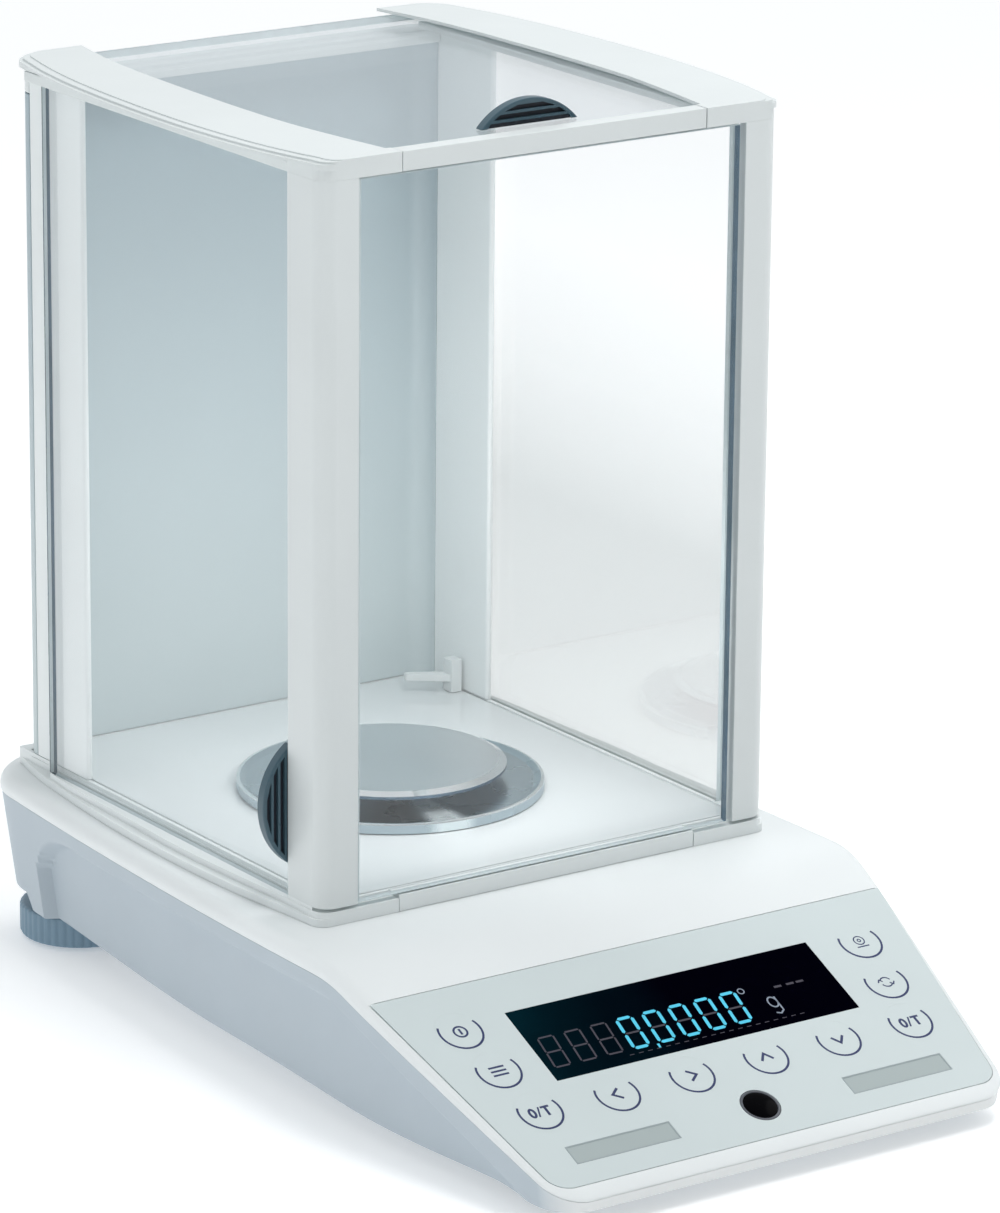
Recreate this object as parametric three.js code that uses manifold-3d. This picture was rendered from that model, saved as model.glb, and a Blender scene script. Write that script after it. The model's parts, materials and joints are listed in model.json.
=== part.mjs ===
// Analytical balance: wedge-shaped housing, glass draft shield with three sliding doors,
// weighing pan on a force-compensation cell, keyboard slope with display, levelling feet.
// Millimetres, +Z up, +Y to the rear, origin on the ground at the centre of the footprint.
import * as THREE from "three";
import { mergeVertices } from "three/addons/utils/BufferGeometryUtils.js";
import Module from "manifold-3d";

const wasm = await Module();
wasm.setup();

// ---------------------------------------------------------------- driving dimensions
const GAP = 0.3; // clearance between pieces that touch
const WALL = 2.6; // wall of the plastic casings

const HOUSING = {
  rear: 175.5,
  front: -175.5,
  halfWidth: 106.5, // at the widest place
  widestY: -60,
  rearBow: 2.0e-4, // half width lost per mm² behind the widest place
  frontTaper: 0.175, // slope of the sides along the keyboard
  taperEase: 20, // length over which that slope sets in
  rearCorner: 30,
  frontCorner: 14,
  deck: 61, // height of the flat top
  draft: 0.135, // inward slope of the lower casing
  shoulder: 4.5, // width of the rounded upper edge
};
const SLOPE = { angle: THREE.MathUtils.degToRad(24.68), top: [-86.4, 52.1], ease: 40 };
const PARTING = { belowDeck: 6, belowFront: 1.2 }; // joint between the two casings
const RECESS = { depth: 4.5, below: 13.5, edge: 4, rear: 133, arch: 26 };
const FOIL = { topHalf: 102.2, bottomHalf: 87.7, length: 92.25, corner: 8, thick: 0.5 };
const WINDOW = { half: 60.5, s: [16.2, 48.8], thick: 1.2 };
const KEY = { radius: 8.3, height: 3.4, sides: 20 };
const LABEL = { x: [34.5, 74.9], s: [75.7, 83.6] };
const VIAL = { s: 78.5, radius: 6.8, depth: 7 };

const SHIELD = {
  half: 90.1, // outer faces of the posts
  front: -39.3,
  postWidth: 17.2,
  postDepth: 20.3,
  bottom: 61.1,
  floor: 67.2,
  underTop: 308.8, // underside of the top frame
  top: 315.4,
  rear: 163, // of the base plate
  glass: 2.8,
  seam: 59.6, // half length of the bars that carry the front pane
};
const DOOR = { x: [85.1, 88], front: -18.7, rear: 137, sink: 1.5 };
const COLUMN = { outer: 84.6, front: 116.5, rear: 150, thick: 2.4 };
const BACK = { y: 160.3, corner: 10, thick: 2.5, top: 302 };
const REAR_BAR = { front: 148, z: [302.3, 307.3] };
const HANDLE = { radius: 25, sideRise: 11, topRise: 8.7, thick: 3.8, z: 97.5, topY: -24 };
const PAN = { y: 55.5, radius: 40, top: 77.7, tray: 53, trayTop: 71 };
const FOOT = { x: 70, y: 146.5, wheel: 21.5, pocket: 23, pad: 9, stud: 4 };
const LATCH = { x: 78.6, y: 133, block: [4.4, 5.4], tip: [65, 141.5], leaf: [71.5, 74], top: 79.5 };
const FRONT_FOOT = { x: 62, y: -138, radius: 9, height: 6 };
const CELL = { floor: 16.6, pivotY: 76, beamZ: [47.3, 53.3], magnetY: 120, magnetR: 22 }; // weighing cell
const BOARD = 17.6; // underside of the main board
const PORT_Z = 26.5; // height of the rear sockets

// ---------------------------------------------------------------- solids
function solidOf(geometry) {
  const bare = geometry.index ? geometry.toNonIndexed() : geometry.clone();
  bare.deleteAttribute("normal");
  bare.deleteAttribute("uv");
  const merged = mergeVertices(bare, 1e-4);
  return new wasm.Manifold(
    new wasm.Mesh({
      numProp: 3,
      vertProperties: merged.attributes.position.array,
      triVerts: new Uint32Array(merged.index.array),
    }),
  );
}

function geometryOf(solid) {
  const mesh = solid.getMesh();
  const geometry = new THREE.BufferGeometry();
  geometry.setAttribute("position", new THREE.BufferAttribute(mesh.vertProperties, 3));
  geometry.setIndex(new THREE.BufferAttribute(mesh.triVerts, 1));
  geometry.computeVertexNormals();
  return geometry;
}

function box(x0, x1, y0, y1, z0, z1) {
  const g = new THREE.BoxGeometry(x1 - x0, y1 - y0, z1 - z0);
  return solidOf(g.translate((x0 + x1) / 2, (y0 + y1) / 2, (z0 + z1) / 2));
}

function cylinder(x, y, z0, z1, radius, sides = 32) {
  const g = new THREE.CylinderGeometry(radius, radius, z1 - z0, sides);
  return solidOf(g.rotateX(Math.PI / 2).translate(x, y, (z0 + z1) / 2));
}

// A plan outline, a list of [x, y], raised from z0 to z1.
function prism(outline, z0, z1) {
  const shape = new THREE.Shape(outline.map(([x, y]) => new THREE.Vector2(x, y)));
  const g = new THREE.ExtrudeGeometry(shape, { depth: z1 - z0, bevelEnabled: false });
  return solidOf(g.translate(0, 0, z0));
}

// A profile of [radius, z] turned about a vertical axis.
function turned(profile, x, y, sides = 48) {
  const points = profile.map(([r, z]) => new THREE.Vector2(r, z));
  const g = new THREE.LatheGeometry(points, sides).rotateX(Math.PI / 2);
  return solidOf(g.translate(x, y, 0));
}

function union(...solids) {
  return solids.reduce((a, b) => a.add(b));
}

function cut(solid, ...tools) {
  return tools.reduce((a, b) => a.subtract(b), solid);
}

const mirrored = (solid) => solid.mirror([1, 0, 0]);

function arc(cx, cy, radius, from, to, steps) {
  return Array.from({ length: steps + 1 }, (_, i) => {
    const a = THREE.MathUtils.degToRad(from + ((to - from) * i) / steps);
    return [cx + radius * Math.cos(a), cy + radius * Math.sin(a)];
  });
}

// ---------------------------------------------------------------- pieces and materials
const object = new THREE.Group();
const LOOKS = {
  white: { color: 0xe2e8ea, roughness: 0.4, metalness: 0 },
  shade: { color: 0xc8d2da, roughness: 0.45, metalness: 0 },
  foil: { color: 0xd4dedf, roughness: 0.35, metalness: 0 },
  black: { color: 0x0a0c18, roughness: 0.15, metalness: 0 },
  slate: { color: 0x4b6472, roughness: 0.45, metalness: 0 },
  foot: { color: 0x7f98a8, roughness: 0.5, metalness: 0 },
  rubber: { color: 0x303438, roughness: 0.8, metalness: 0 },
  glass: { color: 0xdceef0, roughness: 0.05, metalness: 0, transparent: true, opacity: 0.3 },
  steel: { color: 0xc9cdd0, roughness: 0.2, metalness: 1 },
  alloy: { color: 0xb4b8bc, roughness: 0.5, metalness: 1 },
  brass: { color: 0xc8a050, roughness: 0.3, metalness: 1 },
  copper: { color: 0xb06a3c, roughness: 0.4, metalness: 1 },
  board: { color: 0x1e6a3c, roughness: 0.6, metalness: 0 },
};

function place(name, solid, look, group = object) {
  const mesh = new THREE.Mesh(geometryOf(solid), new THREE.MeshStandardMaterial(LOOKS[look]));
  mesh.name = name;
  group.add(mesh);
}

// ---------------------------------------------------------------- the housing's form
const smooth = (t) => {
  const c = Math.min(1, Math.max(0, t));
  return c * c * (3 - 2 * c);
};

function halfWidth(y) {
  const u = y - HOUSING.widestY;
  if (u > 0) return HOUSING.halfWidth - HOUSING.rearBow * u * u;
  return HOUSING.halfWidth - HOUSING.frontTaper * (Math.hypot(u, HOUSING.taperEase) - HOUSING.taperEase);
}

// Height of the top: the flat deck runs over a fillet into the keyboard slope.
function topHeight(y) {
  const tan = Math.tan(SLOPE.angle);
  const bend = SLOPE.top[0] + (HOUSING.deck - SLOPE.top[1]) / tan;
  const reach = SLOPE.ease * Math.tan(SLOPE.angle / 2);
  const u = bend + reach - y;
  if (u <= 0) return HOUSING.deck;
  const filletEnd = SLOPE.ease * Math.sin(SLOPE.angle);
  if (u < filletEnd) return HOUSING.deck - (SLOPE.ease - Math.sqrt(SLOPE.ease ** 2 - u * u));
  return SLOPE.top[1] + tan * (y - SLOPE.top[0]);
}

// 0 on the deck, 1 at the front edge.
const along = (y) => Math.min(1, Math.max(0, (HOUSING.widestY - y) / (HOUSING.widestY - HOUSING.front)));
const partingHeight = (y) => topHeight(y) - THREE.MathUtils.lerp(PARTING.belowDeck, PARTING.belowFront, along(y));
const bottomHeight = (y) => 6.3 + 3.4 * smooth((y + 110) / 110) + 3.8 * smooth((y - 20) / 120);
const shoulderDrop = (y) => THREE.MathUtils.lerp(HOUSING.shoulder, 0.8 * PARTING.belowFront, along(y));

// How far the side panels are set back at a point of the side wall.
function recess(y, z) {
  const { depth, below, edge, rear, arch } = RECESS;
  const top = topHeight(y) - below;
  const back = Math.max(0, y - (rear - arch));
  const inside = back < arch ? top - arch * 0.8 * (1 - Math.sqrt(1 - (back / arch) ** 2)) : -100;
  return depth * smooth((inside - z) / edge + 0.5) * smooth((y - HOUSING.front) / 30 - 0.3);
}

// Right half of the plan outline, rear to front, each with its outward normal.
function halfOutline() {
  const slopeAt = (y) => (halfWidth(y + 0.01) - halfWidth(y - 0.01)) / 0.02;
  const points = [];
  const corner = (yEnd, radius, sign, steps) => {
    const lean = Math.atan(-slopeAt(yEnd));
    const cx = halfWidth(yEnd) - radius * Math.cos(lean);
    const cy = yEnd - radius * Math.sin(lean);
    const list = [];
    for (let i = 0; i <= steps; i++) {
      const a = THREE.MathUtils.lerp(lean, (sign * Math.PI) / 2, i / steps);
      const n = i === steps ? [0, sign] : [Math.cos(a), Math.sin(a)];
      list.push({ x: cx + radius * n[0], y: cy + radius * n[1], nx: n[0], ny: n[1] });
    }
    return list;
  };
  const { rear, front, rearCorner, frontCorner } = HOUSING;
  const rearLean = Math.sin(Math.atan(-slopeAt(rear - rearCorner)));
  const frontLean = Math.sin(Math.atan(slopeAt(front + frontCorner)));
  const sideRear = rear - rearCorner * (1 - rearLean);
  const sideFront = front + frontCorner * (1 - frontLean);
  points.push(...corner(sideRear, rearCorner, 1, 9).reverse());
  const steps = 30;
  for (let i = 1; i < steps; i++) {
    const y = THREE.MathUtils.lerp(sideRear, sideFront, i / steps);
    const lean = Math.atan(-slopeAt(y));
    points.push({ x: halfWidth(y), y, nx: Math.cos(lean), ny: Math.sin(lean) });
  }
  points.push(...corner(sideFront, frontCorner, -1, 7));
  return points;
}
const OUTLINE = halfOutline();

// A closed solid from rings round the outline. Each level gives (inset, height) at a point, and
// the first and last rings are closed by strips that run straight across.
function lofted(levels) {
  const n = OUTLINE.length;
  const positions = [];
  for (const level of levels) {
    for (const side of [1, -1]) {
      for (const p of OUTLINE) {
        const { inset, z } = level(p);
        positions.push(side * (p.x - p.nx * inset), p.y - p.ny * inset, z);
      }
    }
  }
  const right = (k, i) => k * 2 * n + i;
  const left = (k, i) => k * 2 * n + n + i;
  const index = [];
  const quad = (a, b, c, d) => index.push(a, b, c, a, c, d);
  for (let k = 0; k + 1 < levels.length; k++) {
    for (let i = 0; i + 1 < n; i++) {
      quad(right(k, i + 1), right(k, i), right(k + 1, i), right(k + 1, i + 1));
      quad(left(k, i), left(k, i + 1), left(k + 1, i + 1), left(k + 1, i));
    }
    quad(right(k, 0), left(k, 0), left(k + 1, 0), right(k + 1, 0));
    quad(left(k, n - 1), right(k, n - 1), right(k + 1, n - 1), left(k + 1, n - 1));
  }
  const last = levels.length - 1;
  for (let i = 0; i + 1 < n; i++) {
    quad(right(last, i + 1), right(last, i), left(last, i), left(last, i + 1));
    quad(right(0, i), right(0, i + 1), left(0, i + 1), left(0, i));
  }
  const g = new THREE.BufferGeometry();
  g.setAttribute("position", new THREE.Float32BufferAttribute(positions, 3));
  g.setIndex(index);
  return solidOf(g);
}

// ---------------------------------------------------------------- the keyboard slope
// Its own frame: X across, Y up the slope from the foil's top edge, Z out of the surface.
const keyboard = new THREE.Group();
keyboard.position.set(0, SLOPE.top[0], SLOPE.top[1]);
keyboard.rotation.x = SLOPE.angle;
keyboard.updateMatrixWorld(true);
object.add(keyboard);

const onSlope = (solid) => solid.transform(keyboard.matrixWorld.toArray());
const slab = (x0, x1, s0, s1, h0, h1) => box(x0, x1, -s1, -s0, h0, h1);

function foilOutline(grow) {
  const { topHalf, bottomHalf, length, corner } = FOIL;
  const lean = THREE.MathUtils.radToDeg(Math.atan2(topHalf - bottomHalf, length));
  const r = corner + grow;
  const cy = -length + corner;
  const cx = bottomHalf + corner * Math.tan(THREE.MathUtils.degToRad(lean)) - corner;
  const low = arc(cx, cy, r, -lean, -90, 6);
  const right = [[topHalf + grow, grow], ...low];
  return [...right, ...right.map(([x, y]) => [-x, y]).reverse()];
}

// Keys in the slope's frame: name, x, distance down the slope.
const KEYS = [
  ["key_power", -79.7, 19.6],
  ["key_menu", -77.1, 39.1],
  ["key_tare_left", -73.9, 59.4],
  ["key_left", -44.3, 59.8],
  ["key_right", -14.8, 59.8],
  ["key_up", 14.8, 59.8],
  ["key_down", 44.3, 59.8],
  ["key_print", 79.7, 21.5],
  ["key_adjust", 77.1, 41],
  ["key_tare_right", 74, 59.8],
];

const windowHole = (grow) =>
  slab(-WINDOW.half - grow, WINDOW.half + grow, WINDOW.s[0] - grow, WINDOW.s[1] + grow, -9, 2);
const keyHoles = (grow, h0) =>
  KEYS.map(([, x, s]) => cylinder(x, -s, h0, 2, KEY.radius + grow, KEY.sides));
const vialHole = (grow, h0) => cylinder(0, -VIAL.s, h0, 2, VIAL.radius + grow, KEY.sides);

function controlFoil() {
  const labels = [1, -1].map((side) => {
    const [x0, x1] = side > 0 ? LABEL.x : [-LABEL.x[1], -LABEL.x[0]];
    return slab(x0 - GAP, x1 + GAP, LABEL.s[0] - GAP, LABEL.s[1] + GAP, -2, 2);
  });
  const sheet = prism(foilOutline(0), -FOIL.thick, 0);
  return cut(sheet, windowHole(GAP), ...keyHoles(GAP, -2), vialHole(GAP, -2), ...labels);
}

// Circuit board of the keyboard, open where the display stands, with a dome under each key.
function keyBoard() {
  const top = -KEY.height - 0.9;
  const board = prism(foilOutline(-6), top - 1.6, top);
  const display = slab(-WINDOW.half + 1, WINDOW.half - 1, WINDOW.s[0] + 1, WINDOW.s[1] - 1, -9, 0);
  return cut(board, display, vialHole(1, -9));
}

// Vacuum fluorescent tube on its carrier, right behind the window.
function displayModule() {
  const tube = slab(-55, 55, WINDOW.s[0] + 3.5, WINDOW.s[1] - 3.5, -8, -1.7);
  const carrier = slab(-50, 50, WINDOW.s[0] + 5, WINDOW.s[1] - 5, -9.6, -7.5);
  return union(tube, carrier);
}

function levelVial() {
  return turned(
    [[0, -VIAL.depth], [VIAL.radius - 1, -VIAL.depth], [VIAL.radius - 1, -3], [VIAL.radius, -3],
      [VIAL.radius, -0.4], [VIAL.radius - 0.5, 0.1], [0, 0.5]],
    0, -VIAL.s, KEY.sides,
  );
}

function buildKeyboard() {
  place("control_foil", controlFoil(), "foil", keyboard);
  const { half, s, thick } = WINDOW;
  place("display_window", slab(-half, half, s[0], s[1], -thick - 0.05, -0.05), "black", keyboard);
  place("display_module", displayModule(), "black", keyboard);
  place("key_board", keyBoard(), "board", keyboard);
  place("level_vial", levelVial(), "black", keyboard);
  const label = slab(LABEL.x[0], LABEL.x[1], LABEL.s[0], LABEL.s[1], -0.45, -0.15);
  place("right_label", label, "white", keyboard);
  place("left_label", mirrored(label), "white", keyboard);
  for (const [name, x, down] of KEYS) {
    place(name, cylinder(x, -down, -KEY.height, 0, KEY.radius, KEY.sides), "foil", keyboard);
  }
}

// ---------------------------------------------------------------- casings
function upperCasing() {
  const ease = (angle) => (p) => {
    const inset = HOUSING.shoulder * (1 - Math.cos(angle));
    const y = p.y - p.ny * inset;
    return { inset, z: topHeight(y) - shoulderDrop(y) * (1 - Math.sin(angle)) };
  };
  const outer = lofted([
    (p) => ({ inset: 0, z: partingHeight(p.y) }),
    ...[0, 30, 60, 90].map((a) => ease(THREE.MathUtils.degToRad(a))),
  ]);
  const hollowInset = HOUSING.shoulder - 0.5;
  const hollowTop = (p, inset) => topHeight(p.y - p.ny * inset) - WALL - 0.5;
  const hollow = lofted([
    (p) => ({ inset: WALL, z: partingHeight(p.y) - 4 }),
    (p) => ({ inset: WALL, z: hollowTop(p, WALL) - 2 }),
    (p) => ({ inset: hollowInset, z: hollowTop(p, hollowInset) }),
  ]);
  const foilBed = prism(foilOutline(GAP), -FOIL.thick - GAP, 4);
  const slopeCuts = [foilBed, windowHole(GAP), ...keyHoles(GAP, -12), vialHole(GAP, -12)];
  return cut(outer, hollow, ...slopeCuts.map(onSlope), cylinder(0, PAN.y, 40, 80, 10));
}

function lowerCasing() {
  const inset0 = 0.4;
  const wallInset = (p, z) => inset0 + HOUSING.draft * (partingHeight(p.y) - z) + recess(p.y, z);
  const wall = (t, extra) => (p) => {
    const top = partingHeight(p.y) - GAP;
    const z = THREE.MathUtils.lerp(top, bottomHeight(p.y) + extra, t);
    return { inset: wallInset(p, z) + extra, z };
  };
  const edge = (p) => ({ inset: wallInset(p, bottomHeight(p.y)) + 1.5, z: bottomHeight(p.y) });
  const steps = [0.96, 0.8, 0.62, 0.46, 0.32, 0];
  const outer = lofted([edge, ...steps.map((t) => wall(t, 0))]);
  const over = (p) => ({ inset: inset0 + WALL, z: partingHeight(p.y) + 5 });
  const hollow = lofted([...[1, ...steps].map((t) => wall(t, WALL)), over]);
  const pockets = [1, -1].map((side) => cylinder(side * FOOT.x, FOOT.y, 0, 20, FOOT.pocket));
  const housings = [1, -1].map((side) => cylinder(side * FOOT.x, FOOT.y, 0, 23, FOOT.pocket + WALL));
  const studs = [1, -1].map((side) => cylinder(side * FOOT.x, FOOT.y, 10, 30, FOOT.stud + 0.6));
  const ports = [
    box(7.7, 40.3, 160, 180, PORT_Z - 6.7, PORT_Z + 6.7),
    box(-15, -5, 160, 180, PORT_Z - 5.5, PORT_Z + 5.5),
  ];
  return cut(outer, cut(hollow, ...housings), ...pockets, ...studs, ...ports);
}

// ---------------------------------------------------------------- feet
// A fluted levelling wheel with its stud, turning on the pin of a pad that does not turn.
function footWheel() {
  const flutes = 30;
  const outline = Array.from({ length: flutes * 2 }, (_, i) => {
    const a = (i * Math.PI) / flutes;
    const r = FOOT.wheel - (i % 2 ? 0.7 : 0);
    return [r * Math.cos(a), r * Math.sin(a)];
  });
  const rim = prism(outline, 1.8, 12.5);
  const base = cylinder(0, 0, 1.3, 2, FOOT.wheel - 1.4, 30);
  const stud = cylinder(0, 0, 12, 27, FOOT.stud, 20);
  return cut(union(rim, base, stud), cylinder(0, 0, 0, 10, 2.5, 16));
}

function footPad() {
  return union(cylinder(0, 0, 0, 1, FOOT.pad), cylinder(0, 0, 0.5, 9.5, 2, 16));
}

function buildFeet() {
  for (const [side, x] of [["left", -FOOT.x], ["right", FOOT.x]]) {
    place(`${side}_foot_wheel`, footWheel().translate([x, FOOT.y, 0]), "foot");
    place(`${side}_foot_pad`, footPad().translate([x, FOOT.y, 0]), "rubber");
    const front = Math.sign(x) * FRONT_FOOT.x;
    const foot = turned(
      [[0, 0], [FRONT_FOOT.radius - 1, 0], [FRONT_FOOT.radius, 1], [FRONT_FOOT.radius, FRONT_FOOT.height],
        [0, FRONT_FOOT.height]],
      front, FRONT_FOOT.y, 28,
    );
    place(`${side}_front_foot`, foot, "rubber");
  }
}

// ---------------------------------------------------------------- draft shield
// Bowed plan outline, symmetric about x = 0, from half widths at given y, rear to front.
function bowedOutline(stations, front, corner) {
  const curve = new THREE.CatmullRomCurve3(stations.map(([x, y]) => new THREE.Vector3(x, y, 0)));
  const side = curve.getPoints(26).map((p) => [p.x, p.y]);
  const [xEnd] = side[side.length - 1];
  const right = [...side, ...arc(xEnd - corner, front + corner, corner, 0, -90, 8)];
  return [...right, ...right.map(([x, y]) => [-x, y]).reverse()];
}

const BASE_SIDE = [[84, 163], [88.2, 145], [91.4, 120], [94.6, 85], [96, 45], [95, 8], [92.5, -18], [91.2, -33]];

function shieldBase() {
  const { bottom, front, seam, floor } = SHIELD;
  const skirt = prism(bowedOutline(BASE_SIDE, front, 5), bottom, bottom + 2.6);
  const inner = BASE_SIDE.map(([x, y]) => [y > 130 ? x - 1.5 : Math.max(90.2, x - 3.2), y]);
  const step = prism(bowedOutline(inner, front, 5), bottom, floor - 1.4);
  const deck = prism(bowedOutline([[84.4, SHIELD.rear], [84.4, 60], [84.4, -15]], front + 20, 2), bottom, floor);
  const foot = box(-SHIELD.half + 0.2, SHIELD.half - 0.2, front + 6, DOOR.front - 0.3, bottom, floor - 0.25);
  const body = union(skirt, step, deck, foot);
  const track = [1, -1].map((side) => {
    const [x0, x1] = [DOOR.x[0] - GAP, DOOR.x[1] + GAP].map((x) => x * side).sort((a, b) => a - b);
    return box(x0, x1, DOOR.front - 0.4, 170, floor - 2 - DOOR.sink, 80);
  });
  const bar = box(-seam - GAP, seam + GAP, front - 1, front + 6.6, 60, 80);
  const pocket = box(-83, 83, -32, BACK.y - BACK.thick, floor - 2.2, 80);
  return cut(body, ...track, bar, pocket, cylinder(0, PAN.y, 60, 80, 10));
}

function chamberFloor() {
  const { floor } = SHIELD;
  const inner = COLUMN.outer - COLUMN.thick - GAP;
  const rear = BACK.y - BACK.thick - GAP;
  const r = BACK.corner - BACK.thick;
  const right = [[inner, -31.7], ...arc(inner - r, rear - r, r, 0, 90, 6)];
  const outline = [...right, ...right.map(([x, y]) => [-x, y]).reverse()];
  return cut(prism(outline, floor - 1.9, floor), cylinder(0, PAN.y, 60, 80, 10));
}

// Right front post, an angle section: rounded outer corner, inner face beside the edge of the pane.
function frontPost() {
  const { half, front, postWidth, postDepth, glass } = SHIELD;
  const r = 6;
  const inner = half - postWidth + 3;
  const side = half - 1.7; // inner face of the thin leg over the front edge of the door
  const paneRear = front + glass + 2 * GAP;
  const back = paneRear + 1.7;
  const outline = [
    [inner, paneRear], [inner, front],
    ...arc(half - r, front + r, r, -90, 0, 10),
    [half, front + postDepth], [side, front + postDepth],
    ...arc(side - 3, back + 3, 3, 0, -90, 4),
    [inner + 1.4, back],
  ];
  return prism(outline, SHIELD.floor + 0.05, SHIELD.underTop - GAP);
}

// Right edge of the rear wall, a flat strip along the door, rounded in front.
function rearColumn() {
  const { outer, front, rear, thick } = COLUMN;
  const r = thick / 2;
  const outline = [...arc(outer - r, front + r, r, -180, 0, 6), [outer, rear], [outer - thick, rear]];
  return prism(outline, SHIELD.floor + 0.3, SHIELD.underTop - 0.6);
}

// Half outline of the rear wall's outer or inner face: a rounded corner, then straight across.
function backHalf(inset, yStart) {
  const x = COLUMN.outer - inset;
  const r = BACK.corner - inset;
  return [[x, yStart], ...arc(x - r, BACK.y - inset - r, r, 0, 90, 8)];
}

const bothHalves = (half) => [...half, ...half.map(([x, y]) => [-x, y]).reverse()];

function backPanel() {
  const yStart = COLUMN.rear + GAP;
  const outer = prism(bothHalves(backHalf(0, yStart)), SHIELD.floor + 0.3, BACK.top);
  const inner = prism(bothHalves(backHalf(BACK.thick, yStart - 5)), SHIELD.floor - 1, BACK.top + 1);
  return cut(outer, inner);
}

// Right-hand guide of the door below the cap: groove underneath, ledge for the top pane.
function topRail() {
  const { underTop } = SHIELD;
  const z = [underTop - 0.3, underTop + 3.1];
  const guide = union(box(82.3, 85.5, DOOR.front, 149.5, ...z), box(85, 89.8, DOOR.front, 144.5, ...z));
  const ledge = box(72, 83, DOOR.front, 147.5, underTop - 0.3, underTop + 2.1);
  const groove = box(DOOR.x[0] - GAP, DOOR.x[1] + GAP, -30, 160, underTop - 2, underTop + 1.8);
  return cut(union(guide, ledge), groove);
}

// Right-hand cap: bowed on both sides, joined to the front bar, hollowed where the top pane slides.
function topCap() {
  const { front, top, underTop, seam } = SHIELD;
  const through = (points) =>
    new THREE.CatmullRomCurve3(points.map(([x, y]) => new THREE.Vector3(x, y, 0)))
      .getPoints(30)
      .map((p) => [p.x, p.y]);
  const outside = through([[91, -32], [93.5, -22], [96.8, -2], [99.3, 38], [97.2, 97], [93.5, 127], [88.5, 150]]);
  const inside = through([[60.2, 156.2], [65, 128], [67.6, 85], [68, 20], [65, -10], [61.8, -32.7]]);
  const outline = (inset) => [
    ...arc(85.3 - inset, front + 5.5, 5.5, -90, -10, 8),
    ...outside.map(([x, y]) => [x - inset, y]),
    ...arc(80 - inset, 147.5, 8.5, 20, 85, 8),
    ...inside,
    [seam + GAP, -32.7],
    [seam + GAP, front],
  ];
  const plate = union(
    prism(outline(0), top - 2, top - 1.1),
    prism(outline(1.6), top - 1.2, top - 0.4),
    prism(outline(4.5), top - 0.5, top),
    prism(outline(0), underTop + 3.4, top - 1.9).intersect(box(50, 89.8, -60, 170, 300, 330)),
  );
  const frontBlock = prism(
    [
      ...arc(SHIELD.half - 6, front + 6, 6, -90, 0, 10),
      [SHIELD.half, DOOR.front - 0.4], [76.9, DOOR.front - 0.4], [76.9, -32.7], [seam + GAP, -32.7],
      [seam + GAP, front],
    ],
    underTop, top - 1,
  );
  const panePath = box(50, 76.8, -33, 160, underTop + 1, top - 1.1);
  return cut(union(plate, frontBlock), panePath);
}

function rearTopBar() {
  const inner = COLUMN.outer - COLUMN.thick - GAP;
  const outline = bothHalves([[inner, REAR_BAR.front], [inner, COLUMN.rear + GAP], ...backHalf(0, COLUMN.rear + GAP)]);
  return prism(outline, ...REAR_BAR.z);
}

function barOutline(z0, z1) {
  const { seam, front } = SHIELD;
  return box(-seam, seam, front, front + 6.3, z0, z1);
}

// Finger grip: a segment of a disc with ribs on its front face, standing on z = 0.
function grip(rise) {
  const { radius, thick } = HANDLE;
  const half = Math.asin(Math.sqrt(1 - ((radius - rise) / radius) ** 2));
  const deg = THREE.MathUtils.radToDeg(half);
  const outline = arc(0, rise - radius, radius, 90 - deg, 90 + deg, 32);
  const segment = prism(outline, 0, thick).rotate([90, 0, 0]).translate([0, thick, 0]);
  const grooves = [0, 2.6, 5.2, 7.8].map((z) => box(-30, 30, -1, 1.2, z, z + 1.7));
  const rim = prism(arc(0, rise - radius, radius - 1.4, 0, 360, 48), 0, thick);
  const inside = rim.rotate([90, 0, 0]).translate([0, thick, 0]);
  return cut(segment, ...grooves.map((g) => g.intersect(inside)));
}

function buildShield() {
  place("shield_base", shieldBase(), "white");
  place("chamber_floor", chamberFloor(), "white");
  for (const [side, put] of [["right", (s) => s], ["left", mirrored]]) {
    place(`${side}_front_post`, put(frontPost()), "white");
    place(`${side}_rear_column`, put(rearColumn()), "white");
    place(`${side}_top_rail`, put(topRail()), "white");
    place(`${side}_top_cap`, put(topCap()), "white");
    const pane = box(DOOR.x[0], DOOR.x[1], DOOR.front, DOOR.rear, SHIELD.floor - 1.5 - DOOR.sink, SHIELD.underTop + 1.5);
    place(`${side}_door_glass`, put(pane), "glass");
    const onDoor = grip(HANDLE.sideRise).rotate([0, 90, 0]).translate([DOOR.x[1] + GAP, DOOR.front, HANDLE.z]);
    place(`${side}_door_handle`, put(onDoor), "slate");
  }
  place("back_panel", backPanel(), "shade");
  place("rear_top_bar", rearTopBar(), "white");
  place("front_top_bar", barOutline(SHIELD.underTop, SHIELD.top), "white");
  place("front_bottom_bar", barOutline(SHIELD.bottom, SHIELD.floor - 0.25), "white");
  const paneY = SHIELD.front + GAP;
  const half = SHIELD.half - SHIELD.postWidth + 2.7;
  place(
    "front_glass",
    box(-half, half, paneY, paneY + SHIELD.glass, SHIELD.floor + 0.05, SHIELD.underTop - GAP),
    "glass",
  );
  const topPane = SHIELD.underTop + 2.4;
  place("top_door_glass", box(-76.5, 76.5, -32.7, 150, topPane, topPane + SHIELD.glass), "glass");
  const topGrip = grip(HANDLE.topRise).translate([0, HANDLE.topY, topPane + SHIELD.glass + GAP]);
  place("top_door_handle", topGrip, "slate");
}

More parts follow.
